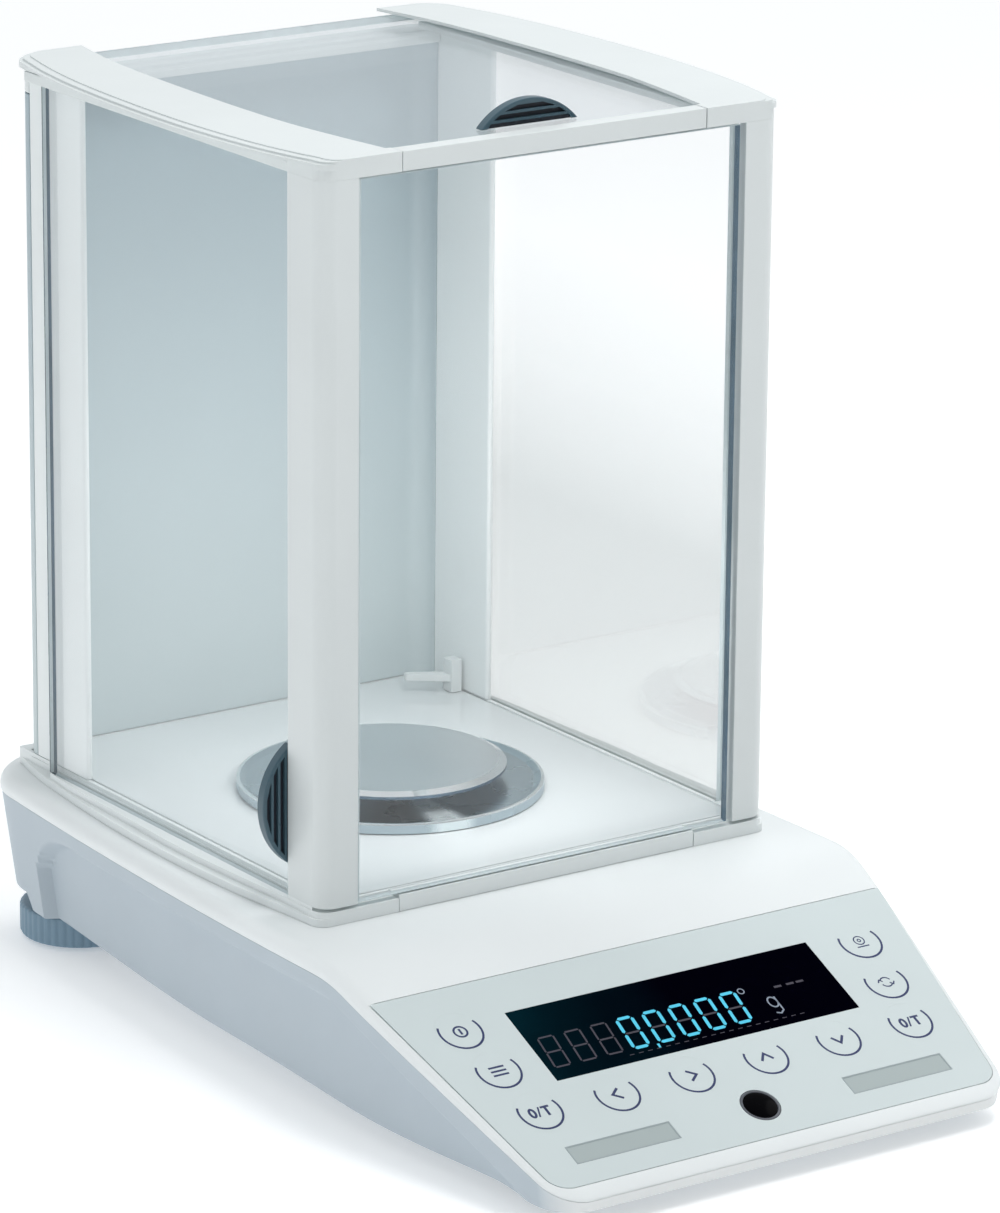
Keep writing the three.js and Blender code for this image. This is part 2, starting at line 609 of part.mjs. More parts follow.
// ---------------------------------------------------------------- pan, tray and latch
function weighingPan() {
  const { radius, top } = PAN;
  return turned(
    [[0, top - 1.6], [4.6, top - 1.6], [4.6, top - 4.4], [9, top - 4.4], [10.5, top - 1.8],
      [radius - 2.5, top - 1.8], [radius - 0.6, top - 2.6], [radius, top - 2.2], [radius - 2.6, top],
      [0, top]],
    0, PAN.y, 72,
  );
}

// Stem that carries the pan, with its cone and the hanger on the weighing cell.
function panCarrier() {
  const { top } = PAN;
  return turned(
    [[0, 30], [7, 30], [7, 33], [3, 34], [3, 60], [3, 68], [8.5, 69.5], [8.5, 72.8], [4.2, 73],
      [4.2, top - 2], [0, top - 2]],
    0, PAN.y, 32,
  );
}

function dripTray() {
  const { tray, trayTop } = PAN;
  const z = SHIELD.floor + GAP;
  return turned(
    [[12, z], [tray, z], [tray, trayTop], [tray - 1, trayTop + 0.2], [tray - 2, trayTop - 1.2],
      [16, trayTop - 1.8], [14, trayTop - 0.6], [12, trayTop - 0.6], [12, z]],
    0, PAN.y, 72,
  );
}

// Lever at the rear right of the chamber that locks the shield to the housing.
function shieldLatch() {
  const { x, y, tip, leaf, top } = LATCH;
  const [wide, deep] = LATCH.block;
  const block = box(x - wide / 2, x + wide / 2, y - deep / 2, y + deep / 2, SHIELD.floor + GAP, top);
  const lean = THREE.MathUtils.radToDeg(Math.atan2(tip[1] - y, tip[0] - x));
  const blade = prism([...arc(...tip, 1.5, lean - 90, lean + 90, 6), [x - 1.5, y - 2.5], [x - 1, y + 2.5]], ...leaf);
  return union(block, blade);
}

// ---------------------------------------------------------------- weighing cell
function cellBase() {
  const { floor, pivotY, beamZ } = CELL;
  const plate = box(-34, 34, 18, 150, floor, floor + 6);
  const pillar = box(-12, 12, pivotY - 3, pivotY + 3, floor + 5, beamZ[0] - 0.5);
  const tower = box(-30, 30, 146, 150, floor + 5, 40);
  return union(plate, pillar, tower);
}

// Lever arm: short arm at the pan stem, coil hanging on the long arm.
function cellBeam() {
  const { beamZ, magnetY } = CELL;
  return cut(
    union(
      box(-6, 6, 62, magnetY + 16, beamZ[0], beamZ[1]),
      cylinder(0, magnetY, beamZ[0], beamZ[0] + 2, 14.4),
    ),
    cylinder(0, PAN.y, 40, 60, 8),
  );
}

function coilFormer() {
  const { beamZ, magnetY } = CELL;
  return turned([[11.8, 30.5], [13.8, 30.5], [13.8, beamZ[0] - GAP], [11.8, beamZ[0] - GAP], [11.8, 30.5]],
    0, magnetY, 36);
}

function magnetPot() {
  const z = CELL.floor + 6 + GAP;
  return turned([[0, z], [CELL.magnetR, z], [CELL.magnetR, 44], [14.8, 44], [14.8, 27.5], [10.8, 27.5],
    [10.8, 43], [0, 43]], 0, CELL.magnetY, 40);
}

function calibrationParts() {
  const y = 34;
  const z = 34;
  const weight = new THREE.CylinderGeometry(8, 8, 34, 32).rotateZ(Math.PI / 2).translate(0, y, z);
  place("calibration_weight", solidOf(weight), "brass");
  const fork = [-12, 12].map((x) => cut(box(x - 2, x + 2, y - 8, y + 8, 26, z - 1), box(x - 3, x + 3, y - 8.3, y + 8.3, z, 50)));
  const seat = solidOf(new THREE.CylinderGeometry(8 + GAP, 8 + GAP, 60, 32).rotateZ(Math.PI / 2).translate(0, y, z));
  place("calibration_lifter", cut(union(...fork, box(-14, 14, y - 4, y + 4, 24.6, 27)), seat), "alloy");
  place("calibration_motor", union(box(-16, 16, 22, 24.8, 22.9, 34), box(18, 33, 20, 44, 22.9, 36), box(15, 19, 22, 24.8, 22.9, 28)), "black");
}

// ---------------------------------------------------------------- electronics

function mainBoard() {
  const z = BOARD;
  const plate = box(38, 86, 40, 160, z, z + 1.6);
  const parts = [
    box(46, 62, 60, 76, z + 1, z + 4), box(68, 78, 58, 70, z + 1, z + 3.4), box(46, 54, 90, 98, z + 1, z + 10),
    box(64, 80, 88, 106, z + 1, z + 6), cylinder(50, 112, z + 1, z + 13, 4, 16), box(42, 84, 44, 50, z + 1, z + 5),
  ];
  return cut(union(plate, ...parts), cylinder(FOOT.x, FOOT.y, 0, 40, FOOT.pocket + WALL + 1));
}

// Nine-way data socket: flange, shell and housing.
function serialPort() {
  const z = PORT_Z;
  const shell = cut(box(16, 32, 164, 170, z - 4, z + 4), box(17, 31, 166, 172, z - 3, z + 3));
  return union(shell, box(8.2, 39.8, 164.5, 166.3, z - 6.2, z + 6.2), box(14, 34, 156, 165, z - 5.2, z + 5.2));
}

function powerJack() {
  const body = box(-14.5, -5.5, 156, 168.5, PORT_Z - 5, PORT_Z + 5);
  const bore = solidOf(new THREE.CylinderGeometry(3.2, 3.2, 9, 24).translate(-10, 165, PORT_Z));
  const pin = solidOf(new THREE.CylinderGeometry(1, 1, 8, 12).translate(-10, 163.5, PORT_Z));
  return union(cut(body, bore), pin);
}

// ---------------------------------------------------------------- assembly
place("lower_casing", lowerCasing(), "shade");
place("upper_casing", upperCasing(), "white");
buildKeyboard();
buildFeet();
buildShield();
place("weighing_pan", weighingPan(), "steel");
place("pan_carrier", panCarrier(), "steel");
place("drip_tray", dripTray(), "steel");
place("shield_latch", shieldLatch(), "white");
place("cell_base", cellBase(), "alloy");
place("cell_beam", cellBeam(), "alloy");
place("coil_former", coilFormer(), "copper");
place("magnet_pot", magnetPot(), "alloy");
calibrationParts();
place("main_board", mainBoard(), "board");
place("serial_port", serialPort(), "steel");
place("power_jack", powerJack(), "black");

export default object;
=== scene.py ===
"""Looks of an analytical balance: glass draft shield, steel pan, keyboard slope with a lit display.

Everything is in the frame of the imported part: metres, +Z up, +Y to the rear, +X to the operator's right.
Shapes are worked out in millimetres and scaled by MM when a mesh is made.
"""

import json
import math

import bmesh
import bpy
from mathutils import Matrix, Vector


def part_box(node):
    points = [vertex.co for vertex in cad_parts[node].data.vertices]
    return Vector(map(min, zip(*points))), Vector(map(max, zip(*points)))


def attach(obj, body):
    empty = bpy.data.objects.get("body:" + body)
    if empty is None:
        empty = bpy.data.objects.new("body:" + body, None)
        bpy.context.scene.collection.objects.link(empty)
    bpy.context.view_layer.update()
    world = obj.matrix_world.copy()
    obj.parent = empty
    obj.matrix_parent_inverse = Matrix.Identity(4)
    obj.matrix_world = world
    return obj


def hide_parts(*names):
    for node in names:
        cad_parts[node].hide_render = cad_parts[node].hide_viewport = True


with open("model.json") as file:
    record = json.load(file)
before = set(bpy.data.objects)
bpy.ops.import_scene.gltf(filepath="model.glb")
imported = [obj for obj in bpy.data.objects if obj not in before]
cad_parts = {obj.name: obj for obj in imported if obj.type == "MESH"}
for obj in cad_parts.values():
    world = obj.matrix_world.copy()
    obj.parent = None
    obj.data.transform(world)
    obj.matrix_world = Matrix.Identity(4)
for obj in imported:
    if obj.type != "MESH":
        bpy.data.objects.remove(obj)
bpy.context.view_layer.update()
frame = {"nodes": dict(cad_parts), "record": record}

MM = 0.001

# ------------------------ sizes, in millimetres
HOUSING = {
    "rear": 175.5, "front": -175.5, "half_width": 106.5, "widest_y": -60.0, "rear_bow": 2.0e-4,
    "front_taper": 0.175, "taper_ease": 20.0, "rear_corner": 30.0, "front_corner": 14.0,
    "deck": 61.0, "draft": 0.135, "shoulder": 4.5,
}
SLOPE = {"angle": math.radians(24.68), "top_y": -86.4, "top_z": 52.1, "ease": 40.0}
PARTING = {"below_deck": 6.0, "below_front": 1.2}
RECESS = {"depth": 4.5, "below": 13.5, "edge": 4.0, "rear": 133.0, "arch": 26.0}
FOIL = {"top_half": 102.2, "bottom_half": 87.7, "length": 92.25, "corner": 8.0}
WINDOW = {"half": 60.5, "top": 16.2, "bottom": 48.8}
KEY_HOLE = 8.6
LABEL = {"x": (34.5, 74.9), "s": (75.7, 83.6)}
VIAL = {"s": 78.5, "radius": 6.8}
KEYS = {
    "key_power": (-79.7, 19.6), "key_menu": (-77.1, 39.1), "key_tare_left": (-73.9, 59.4),
    "key_left": (-44.3, 59.8), "key_right": (-14.8, 59.8), "key_up": (14.8, 59.8),
    "key_down": (44.3, 59.8), "key_print": (79.7, 21.5), "key_adjust": (77.1, 41.0),
    "key_tare_right": (74.0, 59.8),
}
DIGITS = {
    "first": -54.0, "pitch": 10.3, "width": 5.9, "height": 13.4, "thick": 1.25, "lean": 0.10, "below": 4.0,
}
KEY_ARC = {"radius": 7.55, "width": 0.78, "start": 152, "end": 388}
PAN = {"y": 55.5, "radius": 40.0, "top": 77.7}
TRAY = {"radius": 53.0, "bore": 12.0}
GRIP = {"radius": 25.0, "thick": 3.8, "side_rise": 11.0, "top_rise": 8.7, "rim": 1.3, "groove": 1.3}
FOOT = {"x": 70.0, "y": 146.5, "pocket": 23.0, "radius": 21.5, "flutes": 44}
PORTS = {"z": 26.5, "serial": (7.7, 40.3, 6.7), "power": (-15.0, -5.0, 5.5)}
FRONT_PANE_GAP = 1.8
# heights over which the painted shade on the right door's pane fades, foot to top
PANE_SHADE = {"foot": 150.0, "top": 245.0}
GAP = 0.3

# ------------------------ camera, light, floor: metres, degrees
CAMERA = {"place": (-1.1248, -1.6256, 0.7431), "azimuth": -34.838, "elevation": 16.815, "roll": 0.533,
          "lens": 183.79, "sensor": 36.0}
# position, aim, diameter, power in watts, whether glossy surfaces mirror it
LIGHTS = {
    "left": ((-1.9, 0.3, 0.7), (0, 0, 0.12), 1.2, 2.2, True),
    "right": ((1.2, -0.1, 1.0), (0, 0, 0.12), 0.9, 2.6, True),
    "overhead": ((0.5, 0.25, 1.15), (0.1, 0.05, 0.2), 0.55, 2.3, False),
    "slope": ((0.0, -0.35, 1.2), (0, -0.15, 0.05), 0.4, 4.4, False),
    "chamber fill": ((0.0, -0.015, 0.17), (0.05, 0.16, 0.06), 0.10, 0.12, False),
}
SKY = {"ahead": 0.32, "behind": 0.896, "low": (0.72, 0.77, 0.81), "high": (0.96, 0.985, 1.0), "high_at": 0.6}
FLOOR = {"half": 15.0, "glow": 0.31, "far_glow": 0.47, "near": 0.8, "far": 3.0}


# ------------------------ meshes
def new_object(name, vertices, faces, scale=MM):
    mesh = bpy.data.meshes.new(name)
    mesh.from_pydata([Vector(v) * scale for v in vertices], [], faces)
    mesh.validate()
    obj = bpy.data.objects.new(name, mesh)
    bpy.context.scene.collection.objects.link(obj)
    return obj


def tidy_mesh(obj):
    work = bmesh.new()
    work.from_mesh(obj.data)
    bmesh.ops.remove_doubles(work, verts=work.verts, dist=0.002 * MM)
    bmesh.ops.recalc_face_normals(work, faces=work.faces)
    work.to_mesh(obj.data)
    work.free()


def smooth_shading(obj, angle=32):
    """Smooth faces with sharp edges above the angle; large flat faces keep their own normal."""
    for face in obj.data.polygons:
        face.use_smooth = True
    obj.data.set_sharp_from_angle(angle=math.radians(angle))
    weigh = obj.modifiers.new("weighted normals", "WEIGHTED_NORMAL")
    weigh.keep_sharp = True
    weigh.mode = "FACE_AREA"


def bake_modifiers(obj):
    depsgraph = bpy.context.evaluated_depsgraph_get()
    mesh = bpy.data.meshes.new_from_object(obj.evaluated_get(depsgraph))
    obj.modifiers.clear()
    obj.data = mesh


def bevel(obj, width, segments=2, angle=32):
    rounding = obj.modifiers.new("rounded edges", "BEVEL")
    rounding.width = width * MM
    rounding.segments = segments
    rounding.limit_method = "ANGLE"
    rounding.angle_limit = math.radians(angle)
    rounding.harden_normals = False
    rounding.use_clamp_overlap = True
    bake_modifiers(obj)


def subtract(obj, tool):
    cutter = obj.modifiers.new("cut", "BOOLEAN")
    cutter.operation = "DIFFERENCE"
    cutter.solver = "EXACT"
    cutter.object = tool
    bake_modifiers(obj)
    bpy.data.objects.remove(tool)


def finish_piece(obj, body, look, nodes=(), angle=32):
    if look is not None:
        obj.data.materials.clear()
        obj.data.materials.append(look)
    smooth_shading(obj, angle)
    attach(obj, body)
    if nodes:
        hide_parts(*nodes)
    return obj


def body_of(node):
    return next(body for body, members in frame["record"]["behaviour"]["bodies"].items() if node in members)


def refined(node, look, width=0.4, segments=2, angle=32, reach=0.0):
    """A copy of a CAD node with its flat faces joined, its edges rounded and its curves smooth.

    Its lowest and highest corners are moved out by reach, which closes the gap to the pieces below and above.
    """
    source = frame["nodes"][node]
    obj = bpy.data.objects.new(node + "_fine", source.data.copy())
    bpy.context.scene.collection.objects.link(obj)
    work = bmesh.new()
    work.from_mesh(obj.data)
    bmesh.ops.remove_doubles(work, verts=work.verts, dist=0.004 * MM)
    bmesh.ops.dissolve_limit(work, angle_limit=math.radians(0.4), verts=work.verts, edges=work.edges)
    plain = bpy.data.meshes.new(node + "_fine")
    work.to_mesh(plain)
    work.free()
    obj.data = plain
    low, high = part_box(node)
    for vertex in plain.vertices:
        if vertex.co.z < low.z + 0.05 * MM:
            vertex.co.z -= reach * MM
        elif vertex.co.z > high.z - 0.05 * MM:
            vertex.co.z += reach * MM
    if width:
        bevel(obj, width, segments, angle)
    return finish_piece(obj, body_of(node), look, [node], angle)


def prism(name, outline, z0, z1):
    n = len(outline)
    vertices = [(x, y, z0) for x, y in outline] + [(x, y, z1) for x, y in outline]
    sides = [(i, (i + 1) % n, n + (i + 1) % n, n + i) for i in range(n)]
    obj = new_object(name, vertices, [tuple(reversed(range(n))), tuple(range(n, 2 * n))] + sides)
    tidy_mesh(obj)
    return obj


def turned(name, profile, x=0.0, y=0.0, sides=128):
    """A closed profile of (radius, z) turned about a vertical axis at (x, y)."""
    vertices, rings = [], []
    for r, z in profile:
        if r < 1e-6:
            rings.append([len(vertices)] * sides)
            vertices.append((0, 0, z))
            continue
        rings.append(list(range(len(vertices), len(vertices) + sides)))
        for i in range(sides):
            a = 2 * math.pi * i / sides
            vertices.append((r * math.cos(a), r * math.sin(a), z))
    faces = []
    for low, high in zip(rings, rings[1:]):
        for i in range(sides):
            k = (i + 1) % sides
            corners = [low[i], low[k], high[k], high[i]]
            face = [c for j, c in enumerate(corners) if c != corners[j - 1]]
            if len(set(face)) >= 3:
                faces.append(tuple(face))
    obj = new_object(name, vertices, faces)
    tidy_mesh(obj)
    obj.location = (x * MM, y * MM, 0)
    return obj


def arc(cx, cy, radius, start, end, steps):
    turns = [math.radians(start + (end - start) * i / steps) for i in range(steps + 1)]
    return [(cx + radius * math.cos(a), cy + radius * math.sin(a)) for a in turns]


def fillet_path(points, radii, steps=5):
    """A profile whose inner corners are rounded; the radius of each corner is given."""
    path = [points[0]]
    for before, here, after, radius in zip(points, points[1:], points[2:], radii):
        p, a, b = Vector(here), Vector(before) - Vector(here), Vector(after) - Vector(here)
        if radius <= 0 or a.length < 1e-9 or b.length < 1e-9:
            path.append(here)
            continue
        reach = min(radius / max(math.tan(a.angle(b) / 2), 1e-6), a.length * 0.49, b.length * 0.49)
        start, end = p + a.normalized() * reach, p + b.normalized() * reach
        for i in range(steps + 1):
            t = i / steps
            q = start.lerp(p, t).lerp(p.lerp(end, t), t)
            path.append((q.x, q.y))
    path.append(points[-1])
    return path


# ------------------------ materials
def new_material(name):
    """A material with its nodes, links and shader, and where on the object a point lies."""
    material = bpy.data.materials.new(name)
    material.use_nodes = True
    nodes, links = material.node_tree.nodes, material.node_tree.links
    place = nodes.new("ShaderNodeTexCoord").outputs["Object"]
    return material, nodes, links, nodes["Principled BSDF"], place


def noise_node(nodes, links, coordinates, scale, detail=3.0, roughness=0.55):
    noise = nodes.new("ShaderNodeTexNoise")
    noise.inputs["Scale"].default_value = scale
    noise.inputs["Detail"].default_value = detail
    noise.inputs["Roughness"].default_value = roughness
    links.new(coordinates, noise.inputs["Vector"])
    return noise


def mix_colours(nodes, links, factor, low, high, low_at=0.3, high_at=0.7):
    ramp = nodes.new("ShaderNodeValToRGB")
    ramp.color_ramp.elements[0].position = low_at
    ramp.color_ramp.elements[1].position = high_at
    ramp.color_ramp.elements[0].color = (*low, 1)
    ramp.color_ramp.elements[1].color = (*high, 1)
    links.new(factor, ramp.inputs["Fac"])
    return ramp.outputs["Color"]


def map_range(nodes, links, value, low, high, start=0.3, end=0.7):
    """The stretch of a value from start to end, spread out from low to high."""
    spread = nodes.new("ShaderNodeMapRange")
    for socket, setting in (("From Min", start), ("From Max", end), ("To Min", low), ("To Max", high)):
        spread.inputs[socket].default_value = setting
    links.new(value, spread.inputs["Value"])
    return spread.outputs["Result"]


def one_axis(nodes, links, place, axis):
    split = nodes.new("ShaderNodeSeparateXYZ")
    links.new(place, split.inputs[0])
    return split.outputs[axis]


def calculated(nodes, links, operation, *values):
    """A maths node's result; each value is a number or what another node gives."""
    maths = nodes.new("ShaderNodeMath")
    maths.operation = operation
    for socket, value in zip(maths.inputs, values):
        if isinstance(value, float):
            socket.default_value = value
        else:
            links.new(value, socket)
    return maths.outputs["Value"]


def towards(nodes, links, tone, colour, amount):
    """The tone, or the other colour where the amount is one."""
    blend = nodes.new("ShaderNodeMix")
    blend.data_type = "RGBA"
    blend.inputs["B"].default_value = (*colour, 1)
    links.new(amount, blend.inputs["Factor"])
    links.new(tone, blend.inputs["A"])
    return blend.outputs["Result"]


def add_bump(nodes, links, shader, height, strength, distance):
    bump = nodes.new("ShaderNodeBump")
    bump.inputs["Strength"].default_value = strength
    bump.inputs["Distance"].default_value = distance
    links.new(height, bump.inputs["Height"])
    links.new(bump.outputs["Normal"], shader.inputs["Normal"])


def blended(nodes, links, place, tone, axis, start, end, colour):
    """Tone that turns into another colour along one axis, from start to end in metres."""
    amount = map_range(nodes, links, one_axis(nodes, links, place, axis), 0.0, 1.0, start, end)
    return towards(nodes, links, tone, colour, amount)


def plastic(name, colour, roughness=0.4, drift=0.02, grain=1100.0, depth=0.02 * MM, strength=0.25, coat=0.0,
            painted_shade_ramp=None):
    """Moulded plastic: slight tone drift, fine spark-eroded grain, uneven gloss."""
    material, nodes, links, shader, place = new_material(name)
    broad = noise_node(nodes, links, place, 14.0, 2.0).outputs["Fac"]
    fine = noise_node(nodes, links, place, grain, 2.0).outputs["Fac"]
    low = [c * (1 - drift) for c in colour]
    high = [min(1.0, c * (1 + drift)) for c in colour]
    tone = mix_colours(nodes, links, broad, low, high)
    # optional colour ramp along one axis that paints shade: darker towards the wall's top, lower casing back
    # to near white at its front
    if painted_shade_ramp:
        tone = blended(nodes, links, place, tone, *painted_shade_ramp)
    links.new(tone, shader.inputs["Base Color"])
    gloss = noise_node(nodes, links, place, 60.0, 3.0).outputs["Fac"]
    links.new(map_range(nodes, links, gloss, roughness - 0.04, roughness + 0.05), shader.inputs["Roughness"])
    shader.inputs["Coat Weight"].default_value = coat
    shader.inputs["Coat Roughness"].default_value = 0.2
    add_bump(nodes, links, shader, fine, strength, depth)
    return material


def painted_highlight_wedges(nodes, links, place):
    """Two soft wedges about a vertical axis, opposite each other, as a mask for painted highlights: one
    inside them, zero elsewhere.
    """
    axes = (one_axis(nodes, links, place, axis) for axis in "YX")
    angle = calculated(nodes, links, "ARCTAN2", *axes)
    turn = map_range(nodes, links, angle, 0.0, 1.0, -math.pi, math.pi)
    wedges = nodes.new("ShaderNodeValToRGB")
    stops = wedges.color_ramp.elements
    stops[0].position = 0.0
    stops[1].position = 1.0
    stops[1].color = (0, 0, 0, 1)
    for middle in (0.222, 0.722):
        for offset, level in ((-0.028, 0.0), (-0.014, 1.0), (0.014, 1.0), (0.028, 0.0)):
            stops.new(middle + offset).color = (level, level, level, 1)
    links.new(turn, wedges.inputs["Fac"])
    return wedges.outputs["Color"]


def brushed_metal(name, colour, roughness, anisotropy, rings, strength=0.25, turned_about=True, painted_highlight=None):
    """Turned metal: fine concentric tool marks, highlights drawn out across them, and pale wedges of painted
    highlight if a colour is given.
    """
    material, nodes, links, shader, place = new_material(name)
    shader.inputs["Metallic"].default_value = 1.0
    shader.inputs["Anisotropic"].default_value = anisotropy
    if turned_about:
        tangent = nodes.new("ShaderNodeTangent")
        tangent.direction_type = "RADIAL"
        tangent.axis = "Z"
        links.new(tangent.outputs["Tangent"], shader.inputs["Tangent"])
    wave = nodes.new("ShaderNodeTexWave")
    wave.wave_type = "RINGS"
    wave.rings_direction = "Z"
    wave.inputs["Scale"].default_value = rings
    wave.inputs["Distortion"].default_value = 1.5
    wave.inputs["Detail"].default_value = 2.0
    links.new(place, wave.inputs["Vector"])
    smear = noise_node(nodes, links, place, 40.0, 3.0).outputs["Fac"]
    low = [c * 0.95 for c in colour]
    tone = mix_colours(nodes, links, smear, low, colour)
    rough = map_range(nodes, links, smear, roughness * 0.85, roughness * 1.2)
    # painted highlight: pale, less metallic wedges
    if painted_highlight:
        wedges = painted_highlight_wedges(nodes, links, place)
        tone = towards(nodes, links, tone, painted_highlight, wedges)
        links.new(map_range(nodes, links, wedges, 1.0, 0.65, 0.0, 1.0), shader.inputs["Metallic"])
    links.new(tone, shader.inputs["Base Color"])
    links.new(rough, shader.inputs["Roughness"])
    add_bump(nodes, links, shader, wave.outputs["Fac"], strength, 0.01 * MM)
    return material


def clear_glass(name, tint, painted_shade=0.0, foot=None):
    """Face of a thin pane: what it mirrors is laid over what is seen through it, with painted shade near its
    foot.
    """
    material, nodes, links, shader, place = new_material(name)
    wipe = noise_node(nodes, links, place, 9.0, 4.0, 0.65).outputs["Fac"]
    tone = mix_colours(nodes, links, wipe, [t * 0.97 for t in tint], tint)
    if foot:
        tone = blended(nodes, links, place, tone, "Z", PANE_SHADE["top"] * MM, PANE_SHADE["foot"] * MM, foot)
    links.new(tone, shader.inputs["Base Color"])
    links.new(map_range(nodes, links, wipe, 0.01, 0.05), shader.inputs["Roughness"])
    shader.inputs["Metallic"].default_value = 1.0
    grazing = nodes.new("ShaderNodeLayerWeight")
    grazing.inputs["Blend"].default_value = 0.5
    steep = calculated(nodes, links, "POWER", grazing.outputs["Facing"], 5.0)
    height = one_axis(nodes, links, place, "Z")
    # painted shade: more cover towards the pane's foot
    low = map_range(nodes, links, height, 0.04 + painted_shade, 0.04, PANE_SHADE["foot"] * MM, PANE_SHADE["top"] * MM)
    links.new(calculated(nodes, links, "MULTIPLY_ADD", steep, 0.96, low), shader.inputs["Alpha"])
    return material


def glass_edge(name, dark, light):
    """Ground and polished edge of a pane, dark blue-green with lighter streaks along it."""
    material, nodes, links, shader, place = new_material(name)
    streak = noise_node(nodes, links, place, 22.0, 4.0).outputs["Fac"]
    links.new(mix_colours(nodes, links, streak, dark, light), shader.inputs["Base Color"])
    links.new(map_range(nodes, links, streak, 0.12, 0.22), shader.inputs["Roughness"])
    return material


def dark_window(name, deep, tint, gloss):
    """Black filter with a painted teal reflection, strongest towards -X and broken up by noise that also
    varies its gloss.
    """
    material, nodes, links, shader, place = new_material(name)
    reflection_and_gloss_noise = noise_node(nodes, links, place, 16.0, 2.0).outputs["Fac"]
    # painted reflection: the tint ramps in towards -X and is broken up by the noise
    across = map_range(nodes, links, one_axis(nodes, links, place, "X"), 0.0, 1.6, 0.01, -0.06)
    fade = calculated(nodes, links, "MULTIPLY", across, reflection_and_gloss_noise)
    tone = mix_colours(nodes, links, fade, deep, tint, 0.1, 0.9)
    links.new(tone, shader.inputs["Base Color"])
    links.new(map_range(nodes, links, reflection_and_gloss_noise, 0.06, 0.12), shader.inputs["Roughness"])
    shader.inputs["Specular IOR Level"].default_value = gloss
    return material


def lit(name, colour, strength):
    """Glowing segment with a slightly uneven phosphor; on unlit segments the faint glow is painted light."""
    material, nodes, links, shader, place = new_material(name)
    glow = noise_node(nodes, links, place, 500.0, 2.0).outputs["Fac"]
    tone = mix_colours(nodes, links, glow, [c * 0.85 for c in colour], colour)
    links.new(tone, shader.inputs["Base Color"])
    links.new(tone, shader.inputs["Emission Color"])
    shader.inputs["Emission Strength"].default_value = strength
    shader.inputs["Roughness"].default_value = 0.5
    return material


